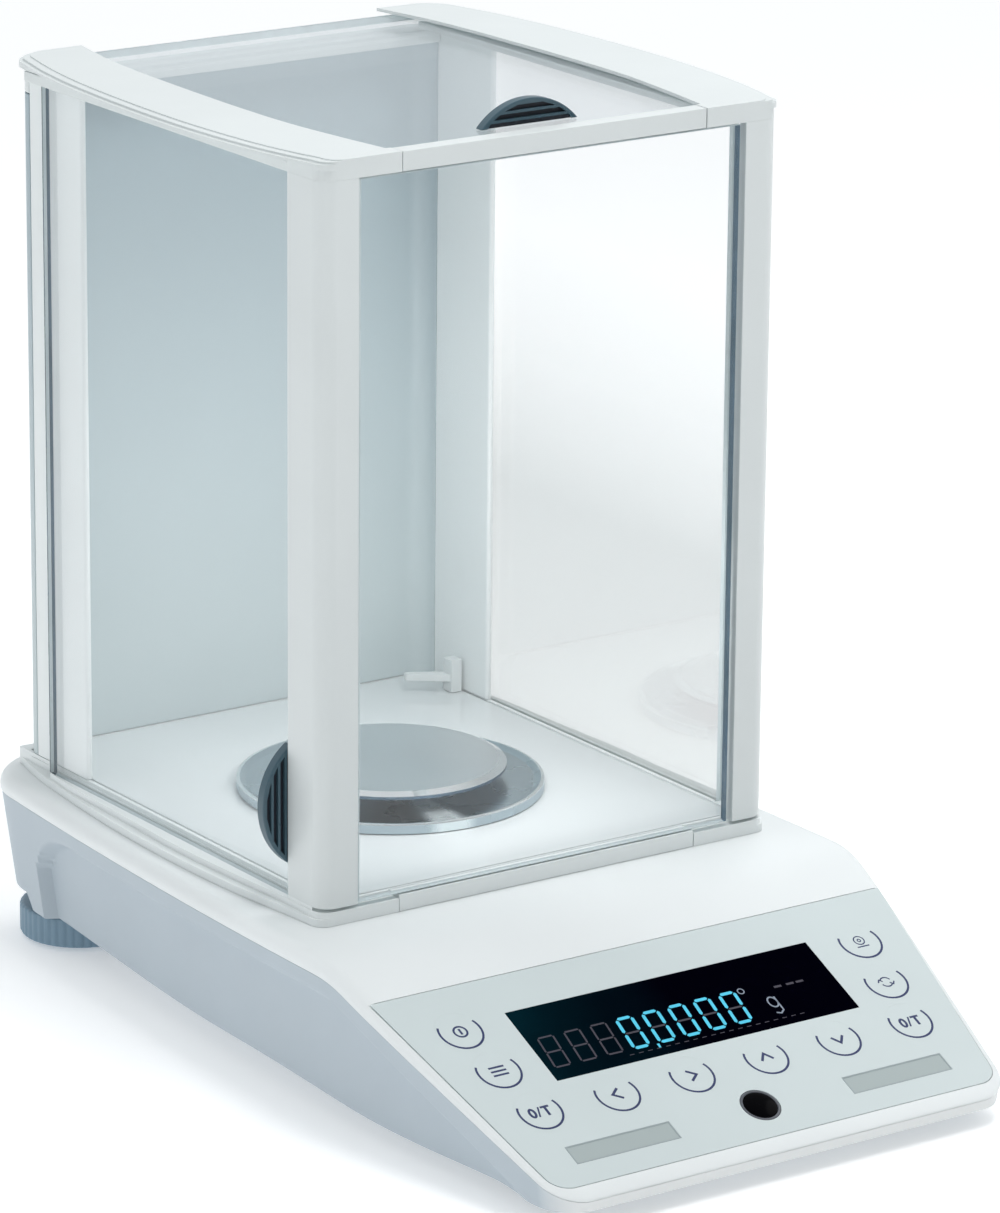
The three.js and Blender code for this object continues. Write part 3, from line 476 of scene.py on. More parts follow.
LOOKS = {
    "white": plastic("housing white", (0.84, 0.875, 0.88), 0.42),
    # white lower casing with painted shade: dark blue-grey, near white again along its front edge
    "shade": plastic("lower casing painted shade", (0.47, 0.535, 0.585), 0.46,
                     painted_shade_ramp=("Y", -0.163, -0.174, (0.80, 0.82, 0.82))),
    "shield": plastic("shield white", (0.705, 0.745, 0.745), 0.36, coat=0.1),
    # shield white lightened as painted light, for the base, bottom bar and rear columns
    "column": plastic("shield white painted light", (0.82, 0.86, 0.86), 0.36, coat=0.1),
    # chamber wall with painted shade: darker towards its top
    "wall": plastic("chamber wall painted shade", (0.535, 0.615, 0.63), 0.38,
                    painted_shade_ramp=("Z", 0.10, 0.31, (0.33, 0.42, 0.465))),
    "floor": plastic("chamber floor", (0.69, 0.73, 0.74), 0.09, depth=0.004 * MM, coat=0.4),
    "foil": plastic("control foil", (0.64, 0.715, 0.72), 0.34, grain=2200.0, depth=0.01 * MM, coat=0.1),
    "print": plastic("printing ink", (0.022, 0.035, 0.125), 0.45, drift=0.06),
    "display": dark_window("display filter", (0.0006, 0.0006, 0.003), (0.0015, 0.016, 0.024), 0.0),
    # unlit segments glow faintly: painted light
    "ghost": lit("unlit segments", (0.045, 0.04, 0.06), 0.05),
    "digits": lit("lit segments", (0.045, 0.36, 0.50), 0.85),
    "unit": lit("dim segments", (0.20, 0.24, 0.30), 0.35),
    "label": plastic("label plate", (0.41, 0.475, 0.475), 0.35),
    "label rim": plastic("label rim", (0.36, 0.42, 0.44), 0.35),
    "vial": dark_window("level vial", (0.001, 0.001, 0.0016), (0.003, 0.003, 0.004), 0.02),
    "vial ring": plastic("vial ring", (0.10, 0.11, 0.13), 0.3),
    "foot": plastic("foot wheel", (0.20, 0.31, 0.40), 0.42, drift=0.05),
    "rubber": plastic("rubber", (0.03, 0.033, 0.036), 0.7, strength=0.5, depth=0.05 * MM),
    "handle": plastic("grip", (0.05, 0.10, 0.13), 0.30, drift=0.05),
    # near-black groove floors: painted shade
    "groove": plastic("grip groove painted shade", (0.004, 0.008, 0.018), 0.5),
    "glass": clear_glass("pane", (0.93, 0.98, 1.0)),
    # right door pane with painted shade: grey-green tint and more cover near its foot
    "shaded glass": clear_glass("pane painted shade", (1.0, 1.0, 0.97), 0.23, (0.42, 0.47, 0.45)),
    "edge": glass_edge("pane edge", (0.035, 0.085, 0.12), (0.09, 0.16, 0.23)),
    # lighter copy of the pane edge: painted light
    "painted light edge": glass_edge("pane edge painted light", (0.58, 0.66, 0.68), (0.74, 0.81, 0.83)),
    "pan": brushed_metal("pan steel", (0.74, 0.77, 0.79), 0.34, 0.4, 260.0),
    "rim": brushed_metal("pan rim", (0.86, 0.89, 0.91), 0.07, 0.3, 200.0, 0.1),
    # tray steel with painted highlight wedges
    "tray": brushed_metal("tray steel", (0.47, 0.56, 0.61), 0.28, 0.85, 220.0, 0.2, painted_highlight=(0.84, 0.93, 0.95)),
    # steel darkened as painted shade, for the pan's lower edge band and underside
    "dark steel": brushed_metal("shaded steel", (0.14, 0.22, 0.30), 0.2, 0.3, 200.0, 0.1),
    "steel": brushed_metal("steel", (0.55, 0.56, 0.58), 0.28, 0.2, 200.0, turned_about=False),
    "alloy": brushed_metal("machined alloy", (0.60, 0.61, 0.63), 0.38, 0.2, 160.0, turned_about=False),
    "brass": brushed_metal("brass", (0.62, 0.44, 0.16), 0.22, 0.2, 180.0, turned_about=False),
    "copper": brushed_metal("copper winding", (0.50, 0.20, 0.08), 0.32, 0.3, 420.0, turned_about=False),
    "black": plastic("black moulding", (0.012, 0.012, 0.014), 0.42),
    "board": plastic("circuit board", (0.012, 0.10, 0.045), 0.35, drift=0.12),
}


# ------------------------ the housing's form
def ease(t):
    c = min(1.0, max(0.0, t))
    return c * c * (3 - 2 * c)


def half_width(y):
    u = y - HOUSING["widest_y"]
    if u > 0:
        return HOUSING["half_width"] - HOUSING["rear_bow"] * u * u
    soft = HOUSING["taper_ease"]
    return HOUSING["half_width"] - HOUSING["front_taper"] * (math.hypot(u, soft) - soft)


def top_height(y):
    tan = math.tan(SLOPE["angle"])
    bend = SLOPE["top_y"] + (HOUSING["deck"] - SLOPE["top_z"]) / tan
    u = bend + SLOPE["ease"] * math.tan(SLOPE["angle"] / 2) - y
    if u <= 0:
        return HOUSING["deck"]
    if u < SLOPE["ease"] * math.sin(SLOPE["angle"]):
        return HOUSING["deck"] - (SLOPE["ease"] - math.sqrt(SLOPE["ease"] ** 2 - u * u))
    return SLOPE["top_z"] + tan * (y - SLOPE["top_y"])


def along(y):
    return min(1.0, max(0.0, (HOUSING["widest_y"] - y) / (HOUSING["widest_y"] - HOUSING["front"])))


def lerp(a, b, t):
    return a + (b - a) * t


def parting_height(y):
    return top_height(y) - lerp(PARTING["below_deck"], PARTING["below_front"], along(y))


def bottom_height(y):
    return 6.3 + 3.4 * ease((y + 110) / 110) + 3.8 * ease((y - 20) / 120)


def shoulder_drop(y):
    return lerp(HOUSING["shoulder"], 0.8 * PARTING["below_front"], along(y))


def recess(y, z):
    top = top_height(y) - RECESS["below"]
    back = max(0.0, y - (RECESS["rear"] - RECESS["arch"]))
    inside = -100.0
    if back < RECESS["arch"]:
        inside = top - RECESS["arch"] * 0.8 * (1 - math.sqrt(1 - (back / RECESS["arch"]) ** 2))
    fade = ease((y - HOUSING["front"]) / 30 - 0.3)
    return RECESS["depth"] * ease((inside - z) / RECESS["edge"] + 0.5) * fade


def half_outline(side_steps, rear_steps, front_steps):
    """Right half of the plan, rear to front, as (x, y, outward normal x, outward normal y)."""

    def slope_at(y):
        return (half_width(y + 0.01) - half_width(y - 0.01)) / 0.02

    def corner(y_end, radius, sign, steps):
        lean = math.atan(-slope_at(y_end))
        cx = half_width(y_end) - radius * math.cos(lean)
        cy = y_end - radius * math.sin(lean)
        found = []
        for i in range(steps + 1):
            a = lerp(lean, sign * math.pi / 2, i / steps)
            nx, ny = (0.0, sign) if i == steps else (math.cos(a), math.sin(a))
            found.append((cx + radius * nx, cy + radius * ny, nx, ny))
        return found

    rear_lean = math.sin(math.atan(-slope_at(HOUSING["rear"] - HOUSING["rear_corner"])))
    front_lean = math.sin(math.atan(slope_at(HOUSING["front"] + HOUSING["front_corner"])))
    side_rear = HOUSING["rear"] - HOUSING["rear_corner"] * (1 - rear_lean)
    side_front = HOUSING["front"] + HOUSING["front_corner"] * (1 - front_lean)
    points = list(reversed(corner(side_rear, HOUSING["rear_corner"], 1, rear_steps)))
    for i in range(1, side_steps):
        y = lerp(side_rear, side_front, i / side_steps)
        lean = math.atan(-slope_at(y))
        points.append((half_width(y), y, math.cos(lean), math.sin(lean)))
    return points + corner(side_front, HOUSING["front_corner"], -1, front_steps)


OUTLINE = half_outline(150, 20, 16)


def lofted(name, levels):
    """Rings round the outline, closed below and above by strips that run straight across."""
    n = len(OUTLINE)
    vertices = []
    for level in levels:
        for side in (1, -1):
            for point in OUTLINE:
                inset, z = level(point)
                vertices.append((side * (point[0] - point[2] * inset), point[1] - point[3] * inset, z))

    def at(k, side, i):
        return k * 2 * n + side * n + i

    faces = []
    for k in range(len(levels) - 1):
        for i in range(n - 1):
            faces.append((at(k, 0, i + 1), at(k, 0, i), at(k + 1, 0, i), at(k + 1, 0, i + 1)))
            faces.append((at(k, 1, i), at(k, 1, i + 1), at(k + 1, 1, i + 1), at(k + 1, 1, i)))
        faces.append((at(k, 0, 0), at(k, 1, 0), at(k + 1, 1, 0), at(k + 1, 0, 0)))
        faces.append((at(k, 1, n - 1), at(k, 0, n - 1), at(k + 1, 0, n - 1), at(k + 1, 1, n - 1)))
    last = len(levels) - 1
    for i in range(n - 1):
        faces.append((at(last, 0, i + 1), at(last, 0, i), at(last, 1, i), at(last, 1, i + 1)))
        faces.append((at(0, 0, i), at(0, 0, i + 1), at(0, 1, i + 1), at(0, 1, i)))
    obj = new_object(name, vertices, faces)
    tidy_mesh(obj)
    return obj


# ------------------------ the keyboard slope's own frame
SLOPE_TOP = Matrix.Translation((0, SLOPE["top_y"] * MM, SLOPE["top_z"] * MM))
ON_SLOPE = SLOPE_TOP @ Matrix.Rotation(SLOPE["angle"], 4, "X")


def place_on_slope(obj, lift=0.0):
    """The object's shape is drawn with X across, Y up the slope from the foil's top edge and Z out of it."""
    obj.data.transform(ON_SLOPE @ Matrix.Translation((0, 0, lift * MM)))
    return obj


def place_on_slope_at(obj, x, s):
    """Like place_on_slope, about the point x across and s down the slope."""
    obj.data.transform(ON_SLOPE @ Matrix.Translation((x * MM, -s * MM, 0)))
    return obj


def foil_outline(grow, steps=14):
    lean = math.atan2(FOIL["top_half"] - FOIL["bottom_half"], FOIL["length"])
    cy = -FOIL["length"] + FOIL["corner"]
    cx = FOIL["bottom_half"] + FOIL["corner"] * math.tan(lean) - FOIL["corner"]
    low = arc(cx, cy, FOIL["corner"] + grow, -math.degrees(lean), -90, steps)
    right = [(FOIL["top_half"] + grow, grow)] + low
    return right + [(-x, y) for x, y in reversed(right)]


def display_opening(grow):
    half = WINDOW["half"] + grow
    return rectangle(-half, half, WINDOW["top"] - grow, WINDOW["bottom"] + grow)


def rectangle(x0, x1, s0, s1):
    return [(x0, -s1), (x1, -s1), (x1, -s0), (x0, -s0)]


def disc(x, s, radius, sides=72):
    return [(x + px, -s + py) for px, py in arc(0, 0, radius, 0, 360 * (1 - 1 / sides), sides - 1)]


def stroke(points, width, closed=False):
    """Outline of a line of one width through the points, as a list of quads."""
    quads = []
    path = list(points) + ([points[0]] if closed else [])
    sides = []
    for i, p in enumerate(path):
        before = Vector(path[i - 1]) if i else (Vector(path[-2]) if closed else None)
        after = Vector(path[i + 1]) if i + 1 < len(path) else (Vector(path[1]) if closed else None)
        here = Vector(p)
        d1 = (here - before).normalized() if before is not None else None
        d2 = (after - here).normalized() if after is not None else None
        d1, d2 = d1 or d2, d2 or d1
        normal = Vector((-(d1 + d2).y, (d1 + d2).x)).normalized()
        reach = width / 2 / max(0.5, normal.dot(Vector((-d1.y, d1.x))))
        sides.append((here + normal * reach, here - normal * reach))
    for (a, b), (c, d) in zip(sides, sides[1:]):
        quads.append([tuple(a), tuple(b), tuple(d), tuple(c)])
    return quads


def printed(name, quads, thickness=0.03):
    """Thin ink on the slope, from flat quads in the slope's frame."""
    vertices, faces = [], []
    for quad in quads:
        area = sum(a[0] * b[1] - b[0] * a[1] for a, b in zip(quad, quad[1:] + quad[:1]))
        ring = quad if area > 0 else list(reversed(quad))
        base = len(vertices)
        n = len(ring)
        vertices += [(x, y, 0) for x, y in ring] + [(x, y, thickness) for x, y in ring]
        faces.append(tuple(base + i for i in reversed(range(n))))
        faces.append(tuple(base + n + i for i in range(n)))
        faces += [(base + i, base + (i + 1) % n, base + n + (i + 1) % n, base + n + i) for i in range(n)]
    return new_object(name, vertices, faces)


# ------------------------ casings
def upper_casing():
    def rounding(angle):
        def level(p):
            inset = HOUSING["shoulder"] * (1 - math.cos(angle))
            y = p[1] - p[3] * inset
            return inset, top_height(y) - shoulder_drop(y) * (1 - math.sin(angle))
        return level

    levels = [lambda p: (0.9, parting_height(p[1]) + 0.2), lambda p: (0.25, parting_height(p[1]) + 0.02),
              lambda p: (0.0, parting_height(p[1]) + 0.3)]
    levels += [rounding(math.radians(a)) for a in range(0, 91, 9)]
    outer = lofted("upper_casing_fine", levels)
    bed = place_on_slope(prism("bed", foil_outline(GAP), -0.9, 6))
    subtract(outer, bed)
    subtract(outer, place_on_slope(prism("window", display_opening(0.3), -9.9, 6)))
    subtract(outer, place_on_slope(prism("vial", disc(0, VIAL["s"], VIAL["radius"] + 0.25), -8, 6)))
    pan_hole = prism("pan_hole", disc(0, 0, 10), 40, 80)
    pan_hole.location.y = PAN["y"] * MM
    bpy.context.view_layer.update()
    subtract(outer, pan_hole)
    finish_piece(outer, "housing", LOOKS["white"], ["upper_casing"], angle=28)


def lower_casing():
    top_inset = 0.4

    def wall_inset(p, z):
        return top_inset + HOUSING["draft"] * (parting_height(p[1]) - z) + recess(p[1], z)

    def wall(t):
        def level(p):
            top = parting_height(p[1]) - GAP
            z = lerp(top, bottom_height(p[1]), t)
            return wall_inset(p, z), z
        return level

    def edge(inset, rise):
        return lambda p: (wall_inset(p, bottom_height(p[1])) + inset, bottom_height(p[1]) + rise)

    levels = [edge(2.6, 4.0), edge(2.6, 0.0), edge(0.8, 0.0), edge(0.25, 0.25)]
    levels += [wall(t / 56) for t in range(55, -1, -1)]
    levels += [lambda p: (top_inset + 0.5, parting_height(p[1]) - GAP + 0.25),
               lambda p: (top_inset + 2.6, parting_height(p[1]) - GAP + 0.25)]
    outer = lofted("lower_casing_fine", levels)
    for side in (1, -1):
        pocket = prism("pocket", disc(0, 0, FOOT["pocket"]), -5, 20)
        pocket.location = (side * FOOT["x"] * MM, FOOT["y"] * MM, 0)
        bpy.context.view_layer.update()
        subtract(outer, pocket)
    for x0, x1, half in (PORTS["serial"], PORTS["power"]):
        plan = [(x0, 160), (x1, 160), (x1, 190), (x0, 190)]
        subtract(outer, prism("port", plan, PORTS["z"] - half, PORTS["z"] + half))
    finish_piece(outer, "housing", LOOKS["shade"], ["lower_casing"], angle=40)


# ------------------------ keyboard
def control_foil():
    foil = prism("control_foil_fine", foil_outline(0), -0.5, 0)
    place_on_slope(foil)
    subtract(foil, place_on_slope(prism("window", display_opening(0.05), -2, 2)))
    subtract(foil, place_on_slope(prism("vial", disc(0, VIAL["s"], VIAL["radius"] + 0.15), -2, 2)))
    for x, s in KEYS.values():
        subtract(foil, place_on_slope(prism("key", disc(x, s, KEY_HOLE), -2, 2)))
    for side in (1, -1):
        x0, x1 = sorted(side * x for x in LABEL["x"])
        subtract(foil, place_on_slope(prism("label", rectangle(x0, x1, *LABEL["s"]), -2, 2)))
    finish_piece(foil, "housing", LOOKS["foil"], ["control_foil"])


def chevron(turn, reach=2.3, width=0.9):
    points = [(-0.55 * reach, reach), (0.75 * reach, 0), (-0.55 * reach, -reach)]
    c, s = math.cos(math.radians(turn)), math.sin(math.radians(turn))
    return stroke([(x * c - y * s, x * s + y * c) for x, y in points], width)


def ring_mark(radius, width, start=0, end=360, cx=0.0, cy=0.0):
    steps = max(8, int(abs(end - start) / 9))
    closed = abs(end - start) >= 360
    points = arc(cx, cy, radius, start, end - (360 / steps if closed else 0), steps - (1 if closed else 0))
    return stroke(points, width, closed)


def tare_mark():
    turns = [2 * math.pi * i / 20 for i in range(20)]
    zero = [(-2.9 + 0.95 * math.cos(a), 1.75 * math.sin(a)) for a in turns]
    slash = stroke([(-1.2, -2.1), (0.3, 2.1)], 0.6)
    return (stroke(zero, 0.9, True) + slash + stroke([(0.9, 1.7), (4.1, 1.7)], 0.85)
            + stroke([(2.5, 1.3), (2.5, -2.2)], 0.95))


def marks():
    """What is printed in the middle of each key: plain signs for its function."""
    bars = sum((stroke([(-2.9, y), (2.9, y)], 0.75) for y in (1.75, 0, -1.75)), [])
    eye = ring_mark(1.9, 0.45, cy=0.7) + ring_mark(0.6, 0.4, cy=0.7)
    tip = [(-3.0, 0.3), (-2.1, 1.5), (-1.1, 0.5)]
    tips = stroke(tip, 0.5) + stroke([(-x, -y) for x, y in tip], 0.5)
    return {
        "key_power": ring_mark(2.3, 0.7) + stroke([(0, 1.3), (0, -1.3)], 0.8),
        "key_menu": bars,
        "key_tare_left": tare_mark(),
        "key_tare_right": tare_mark(),
        "key_left": chevron(180),
        "key_right": chevron(0),
        "key_up": chevron(90),
        "key_down": chevron(-90),
        "key_print": eye + stroke([(-2.4, -2.2), (2.4, -2.2)], 0.5),
        "key_adjust": ring_mark(2.1, 0.5, 150, 20) + ring_mark(2.1, 0.5, -30, -160) + tips,
    }


def build_keys():
    signs = marks()
    for name, (x, s) in KEYS.items():
        cap = prism(name + "_fine", disc(0, 0, KEY_HOLE - 0.015), -0.42, 0)
        place_on_slope_at(cap, x, s)
        finish_piece(cap, name, LOOKS["foil"], [name])
        cup = ring_mark(*KEY_ARC.values())
        ink = printed(name + "_ink", cup + signs[name])
        place_on_slope_at(ink, x, s)
        finish_piece(ink, name, LOOKS["print"], ())


def digit(cx, cy, thick, shown="abcdefg"):
    """Seven-segment figure as hexagons, leaning to the right."""
    w, h, t = DIGITS["width"] / 2, DIGITS["height"] / 2, thick
    gap = 0.26 * t
    bars = {
        "a": ((-w, h), (w, h)), "b": ((w, h), (w, 0)), "c": ((w, 0), (w, -h)), "d": ((-w, -h), (w, -h)),
        "e": ((-w, 0), (-w, -h)), "f": ((-w, h), (-w, 0)), "g": ((-w, 0), (w, 0)),
    }
    shapes = []
    for key in shown:
        p, q = Vector(bars[key][0]), Vector(bars[key][1])
        d = (q - p).normalized()
        n = Vector((-d.y, d.x))
        p, q = p + d * gap, q - d * gap
        ring = [p, p + d * t / 2 - n * t / 2, q - d * t / 2 - n * t / 2, q, q - d * t / 2 + n * t / 2,
                p + d * t / 2 + n * t / 2]
        shapes.append([(cx + v.x + DIGITS["lean"] * v.y, cy + v.y) for v in ring])
    return shapes


def figures(middle):
    """Three unlit and five lit figures with a comma, as (unlit segments, lit segments)."""
    thick = DIGITS["thick"]
    ghost, bright = [], []
    for i in range(8):
        cx = DIGITS["first"] + i * DIGITS["pitch"]
        if i < 3:
            ghost += digit(cx, middle, thick * 0.55)
        else:
            bright += digit(cx, middle, thick, "abcdef")
            ghost += digit(cx, middle, thick * 0.6, "g")
        if i == 3:
            comma = [(4.9, -7.1), (5.9, -7.1), (5.6, -8.9), (4.9, -8.9)]
            bright.append([(cx + x, middle + y) for x, y in comma])
    return ghost, bright


def unit_marks(unit, middle):
    """The gram sign and a small ring before it."""
    turns = [2 * math.pi * k / 20 for k in range(20)]
    bowl = [(unit + 1.7 * math.cos(a), middle - 1.4 + 2.3 * math.sin(a)) for a in turns]
    tail = [(1.75, 0.8), (1.6, -5.6), (0, -6.8), (-1.6, -6.1)]
    sign = stroke(bowl, 0.55, True) + stroke([(unit + x, middle + y) for x, y in tail], 0.55)
    return sign + ring_mark(1.15, 0.4, cx=unit - 8.0, cy=middle + 6.2)


def build_display():
    pane = place_on_slope(prism("display_window_fine", display_opening(0), -1.25, -0.05))
    finish_piece(pane, "housing", LOOKS["display"], ["display_window"])
    middle = -(WINDOW["top"] + WINDOW["bottom"]) / 2 - DIGITS["below"]
    unit = DIGITS["first"] + 8 * DIGITS["pitch"] + 4.0
    ghost, bright = figures(middle)
    for k in range(20):
        x = DIGITS["first"] + 24 + k * 3.6
        ghost += stroke([(x, middle - 9.0), (x + 1.8, middle - 9.0)], 0.3)
    for x in (unit + 6, unit + 11, unit + 15):
        ghost += stroke([(x - 1.5, middle + 4.6), (x + 1.5, middle + 4.6)], 0.9)
    printing = {
        "ghost_segments": (ghost, "ghost"),
        "lit_segments": (bright, "digits"),
        "unit_marks": (unit_marks(unit, middle), "unit"),
    }
    for name, (quads, look) in printing.items():
        shown = place_on_slope(printed(name, quads, 0.02), -0.05)
        finish_piece(shown, "housing", LOOKS[look], ())


def build_labels_and_vial():
    for side, name in ((1, "right_label"), (-1, "left_label")):
        x0, x1 = sorted(side * x for x in LABEL["x"])
        s0, s1 = LABEL["s"]
        field = rectangle(x0 + 0.1, x1 - 0.1, s0 + 0.1, s1 - 0.1)
        plate = place_on_slope(prism(name + "_fine", field, -0.45, -0.12))
        finish_piece(plate, "housing", LOOKS["label"], [name])
        ring = stroke(rectangle(x0 + 0.3, x1 - 0.3, s0 + 0.3, s1 - 0.3), 0.4, True)
        border = place_on_slope(printed(name + "_border", ring, 0.12), -0.12)
        finish_piece(border, "housing", LOOKS["label rim"], ())
    r = VIAL["radius"]
    profile = [(0, -7), (r - 1, -7), (r - 1, -3), (r, -3), (r, -0.2), (r - 0.15, 0.02), (r - 0.75, 0.08),
               (r - 0.9, -0.15), (0, -0.15)]
    cup = turned("level_vial_fine", profile, sides=72)
    place_on_slope_at(cup, 0, VIAL["s"])
    finish_piece(cup, "housing", LOOKS["vial ring"], ["level_vial"])
    inner = r - 0.95
    turns = [math.radians(d) for d in range(10, 90, 10)]
    rise = [(inner, -0.14)] + [(inner * math.cos(a), -0.14 + 0.55 * math.sin(a)) for a in turns]
    dome = turned("level_dome", [(0, -0.6), (inner, -0.6)] + rise + [(0, 0.41)], sides=72)
    place_on_slope_at(dome, 0, VIAL["s"])
    finish_piece(dome, "housing", LOOKS["vial"], ())


# ------------------------ feet
def foot_wheel(side):
    per_flute = 6
    count = FOOT["flutes"] * per_flute
    radius = FOOT["radius"]
    ring = []
    for i in range(count):
        a = 2 * math.pi * i / count
        wave = 0.5 - 0.5 * math.cos(2 * math.pi * (i % per_flute) / per_flute)
        ring.append((a, 0.55 * wave ** 3))
    levels = [(radius - 2.2, 1.3, 0.0), (radius - 0.5, 1.7, 0.3), (radius, 2.6, 1.0), (radius, 11.6, 1.0),
              (radius - 0.5, 12.3, 0.5), (radius - 1.6, 12.5, 0.0), (5.0, 12.5, 0.0), (4.0, 13.0, 0.0),
              (4.0, 27.0, 0.0)]
    vertices, faces = [], []
    for r, z, depth in levels:
        vertices += [((r - cut * depth) * math.cos(a), (r - cut * depth) * math.sin(a), z) for a, cut in ring]
    n = len(ring)
    last = (len(levels) - 1) * n
    for low in range(0, last, n):
        high = low + n
        faces += [(low + i, low + (i + 1) % n, high + (i + 1) % n, high + i) for i in range(n)]
    faces += [tuple(range(last, last + n)), tuple(reversed(range(n)))]
    wheel = new_object(side + "_wheel_fine", vertices, faces)
    tidy_mesh(wheel)
    low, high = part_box(side + "_foot_wheel")
    wheel.location = ((low.x + high.x) / 2, (low.y + high.y) / 2, 0)
    finish_piece(wheel, side + "_wheel", LOOKS["foot"], [side + "_foot_wheel"], angle=50)


# ------------------------ panes and grips
def pane(node):
    """A CAD pane with polished faces and chamfered edges, dark at the doors' rear and at the front's right,
    pale with painted light elsewhere.

    The front pane ends short of the right post, which leaves a pale strip between its dark edge and the post.
    """
    low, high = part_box(node)
    if node == "front_glass":
        high.x -= FRONT_PANE_GAP * MM
    size = high - low
    thin = min(range(3), key=lambda i: size[i])
    corners = [Vector((x, y, z)) for x in (low.x, high.x) for y in (low.y, high.y) for z in (low.z, high.z)]
    faces = [(0, 1, 3, 2), (4, 6, 7, 5), (0, 4, 5, 1), (2, 3, 7, 6), (0, 2, 6, 4), (1, 5, 7, 3)]
    obj = new_object(node + "_fine", corners, faces, scale=1.0)
    tidy_mesh(obj)
    upright = node in ("left_door_glass", "right_door_glass")
    bevel(obj, 0.8 if upright else 0.35, 1, 60)
    obj.data.materials.append(LOOKS["shaded glass" if node == "right_door_glass" else "glass"])
    obj.data.materials.append(LOOKS["edge"])
    obj.data.materials.append(LOOKS["painted light edge"])
    for face in obj.data.polygons:
        if upright:
            dark = 0.3 < face.normal.y < 0.9
        else:
            dark = node == "front_glass" and face.normal.x > 0.6
        # edges that are not dark get the pale edge, painted light
        if abs(face.normal[thin]) > 0.95:
            face.material_index = 0
        else:
            face.material_index = 1 if dark else 2
    obj.data.set_sharp_from_angle(angle=math.radians(20))
    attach(obj, body_of(node))
    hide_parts(node)


def grip(node, rise):
    """Half-disc finger grip: raised rim, ribs between grooves with painted shade on their floors, drawn
    standing on Z = 0.
    """
    low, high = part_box(node)
    radius, thick = GRIP["radius"], GRIP["thick"]
    floor = thick - GRIP["groove"]
    drop = radius - rise
    half = math.degrees(math.acos(drop / radius))
    outline = arc(0, -drop, radius, 90 - half, 90 + half, 48)
    plate = prism(node + "_fine", outline, 0, thick)
    bevel(plate, 0.45, 3, 32)
    inner_radius = radius - GRIP["rim"]
    slots = []
    for z0 in (-0.6, 2.6, 5.2, 7.8):
        z1 = min(z0 + (1.7 if z0 > 0 else 2.3), rise - 1.4)
        if z1 - z0 < 0.6:
            continue
        reach0 = math.sqrt(max(0.5, inner_radius ** 2 - (max(z0, 0) + drop) ** 2))
        reach1 = math.sqrt(max(0.5, inner_radius ** 2 - (z1 + drop) ** 2))
        slots.append([(-reach0, z0), (reach0, z0), (reach1, z1), (-reach1, z1)])
    floors = []
    for slot in slots:
        subtract(plate, prism("slot", slot, floor, thick + 2))
        floors.append([(x * 0.995, max(z, 0.05)) for x, z in slot])
    # near-black sheets on the groove floors are painted shade
    dark = printed(node + "_groove_shade", floors, 0.12)
    dark.data.transform(Matrix.Translation((0, 0, floor * MM)))
    upright = Matrix.Rotation(math.radians(90), 4, "X")
    if node == "top_door_handle":
        place = Matrix.Translation((0, high.y, low.z)) @ upright
    else:
        side = -1 if node.startswith("left") else 1
        base = low.x if side > 0 else high.x
        turn = Matrix.Rotation(math.radians(90 * side), 4, "Y")
        place = Matrix.Translation((base, high.y, (low.z + high.z) / 2)) @ turn @ upright
    for obj in (plate, dark):
        obj.data.transform(place)
    finish_piece(plate, body_of(node), LOOKS["handle"], [node], angle=40)
    finish_piece(dark, body_of(node), LOOKS["groove"], ())


# ------------------------ pan and tray
def build_pan():
    """Flat dish with a bright bevel, a dark edge band and a boss that sits on the carrier."""
    top, radius = PAN["top"], PAN["radius"]
    profile = fillet_path(
        [(0, top - 1.6), (4.6, top - 1.6), (4.6, top - 4.4), (9, top - 4.4), (10.5, top - 1.8),
         (radius - 2.5, top - 1.8), (radius - 0.5, top - 2.6), (radius, top - 2.4), (radius, top - 1.25),
         (radius - 2.6, top - 0.05), (radius - 5.2, top - 0.05), (0, top - 0.05)],
        [0, 0, 0.3, 0.6, 0.5, 0.6, 0.1, 0.15, 0.5, 0, 0],
    )
    pan = turned("weighing_pan_fine", profile, 0, PAN["y"], 160)
    for look in ("pan", "rim", "dark steel"):
        pan.data.materials.append(LOOKS[look])
    for face in pan.data.polygons:
        middle = face.center / MM
        # lower edge band and underside: painted shade
        if middle.z < top - 1.3:
            face.material_index = 2
        else:
            face.material_index = 1 if middle.xy.length > radius - 2.75 else 0
    finish_piece(pan, "pan", None, ["weighing_pan"], angle=25)


def build_tray():
    """Shallow ring dish with a bright raised lip, open round the carrier."""
    low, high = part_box("drip_tray")
    z, rim = low.z / MM, high.z / MM
    radius, bore = TRAY["radius"], TRAY["bore"]
    profile = fillet_path(
        [(bore, z), (radius, z), (radius, rim - 0.2), (radius - 1, rim), (radius - 3.4, rim - 1.2),
         (bore + 4.2, rim - 2.0), (bore + 2, rim - 0.8), (bore, rim - 0.8), (bore, z)],
        [0.3, 0.5, 0.5, 0.8, 0.8, 0.5, 0.2],
    )
    tray = turned("drip_tray_fine", profile, 0, PAN["y"], 160)
    for look in ("tray", "rim"):
        tray.data.materials.append(LOOKS[look])
    for face in tray.data.polygons:
        middle = face.center / MM
        face.material_index = 1 if middle.xy.length > radius - 2.2 and middle.z > rim - 0.75 else 0
    finish_piece(tray, "tray", None, ["drip_tray"], angle=25)


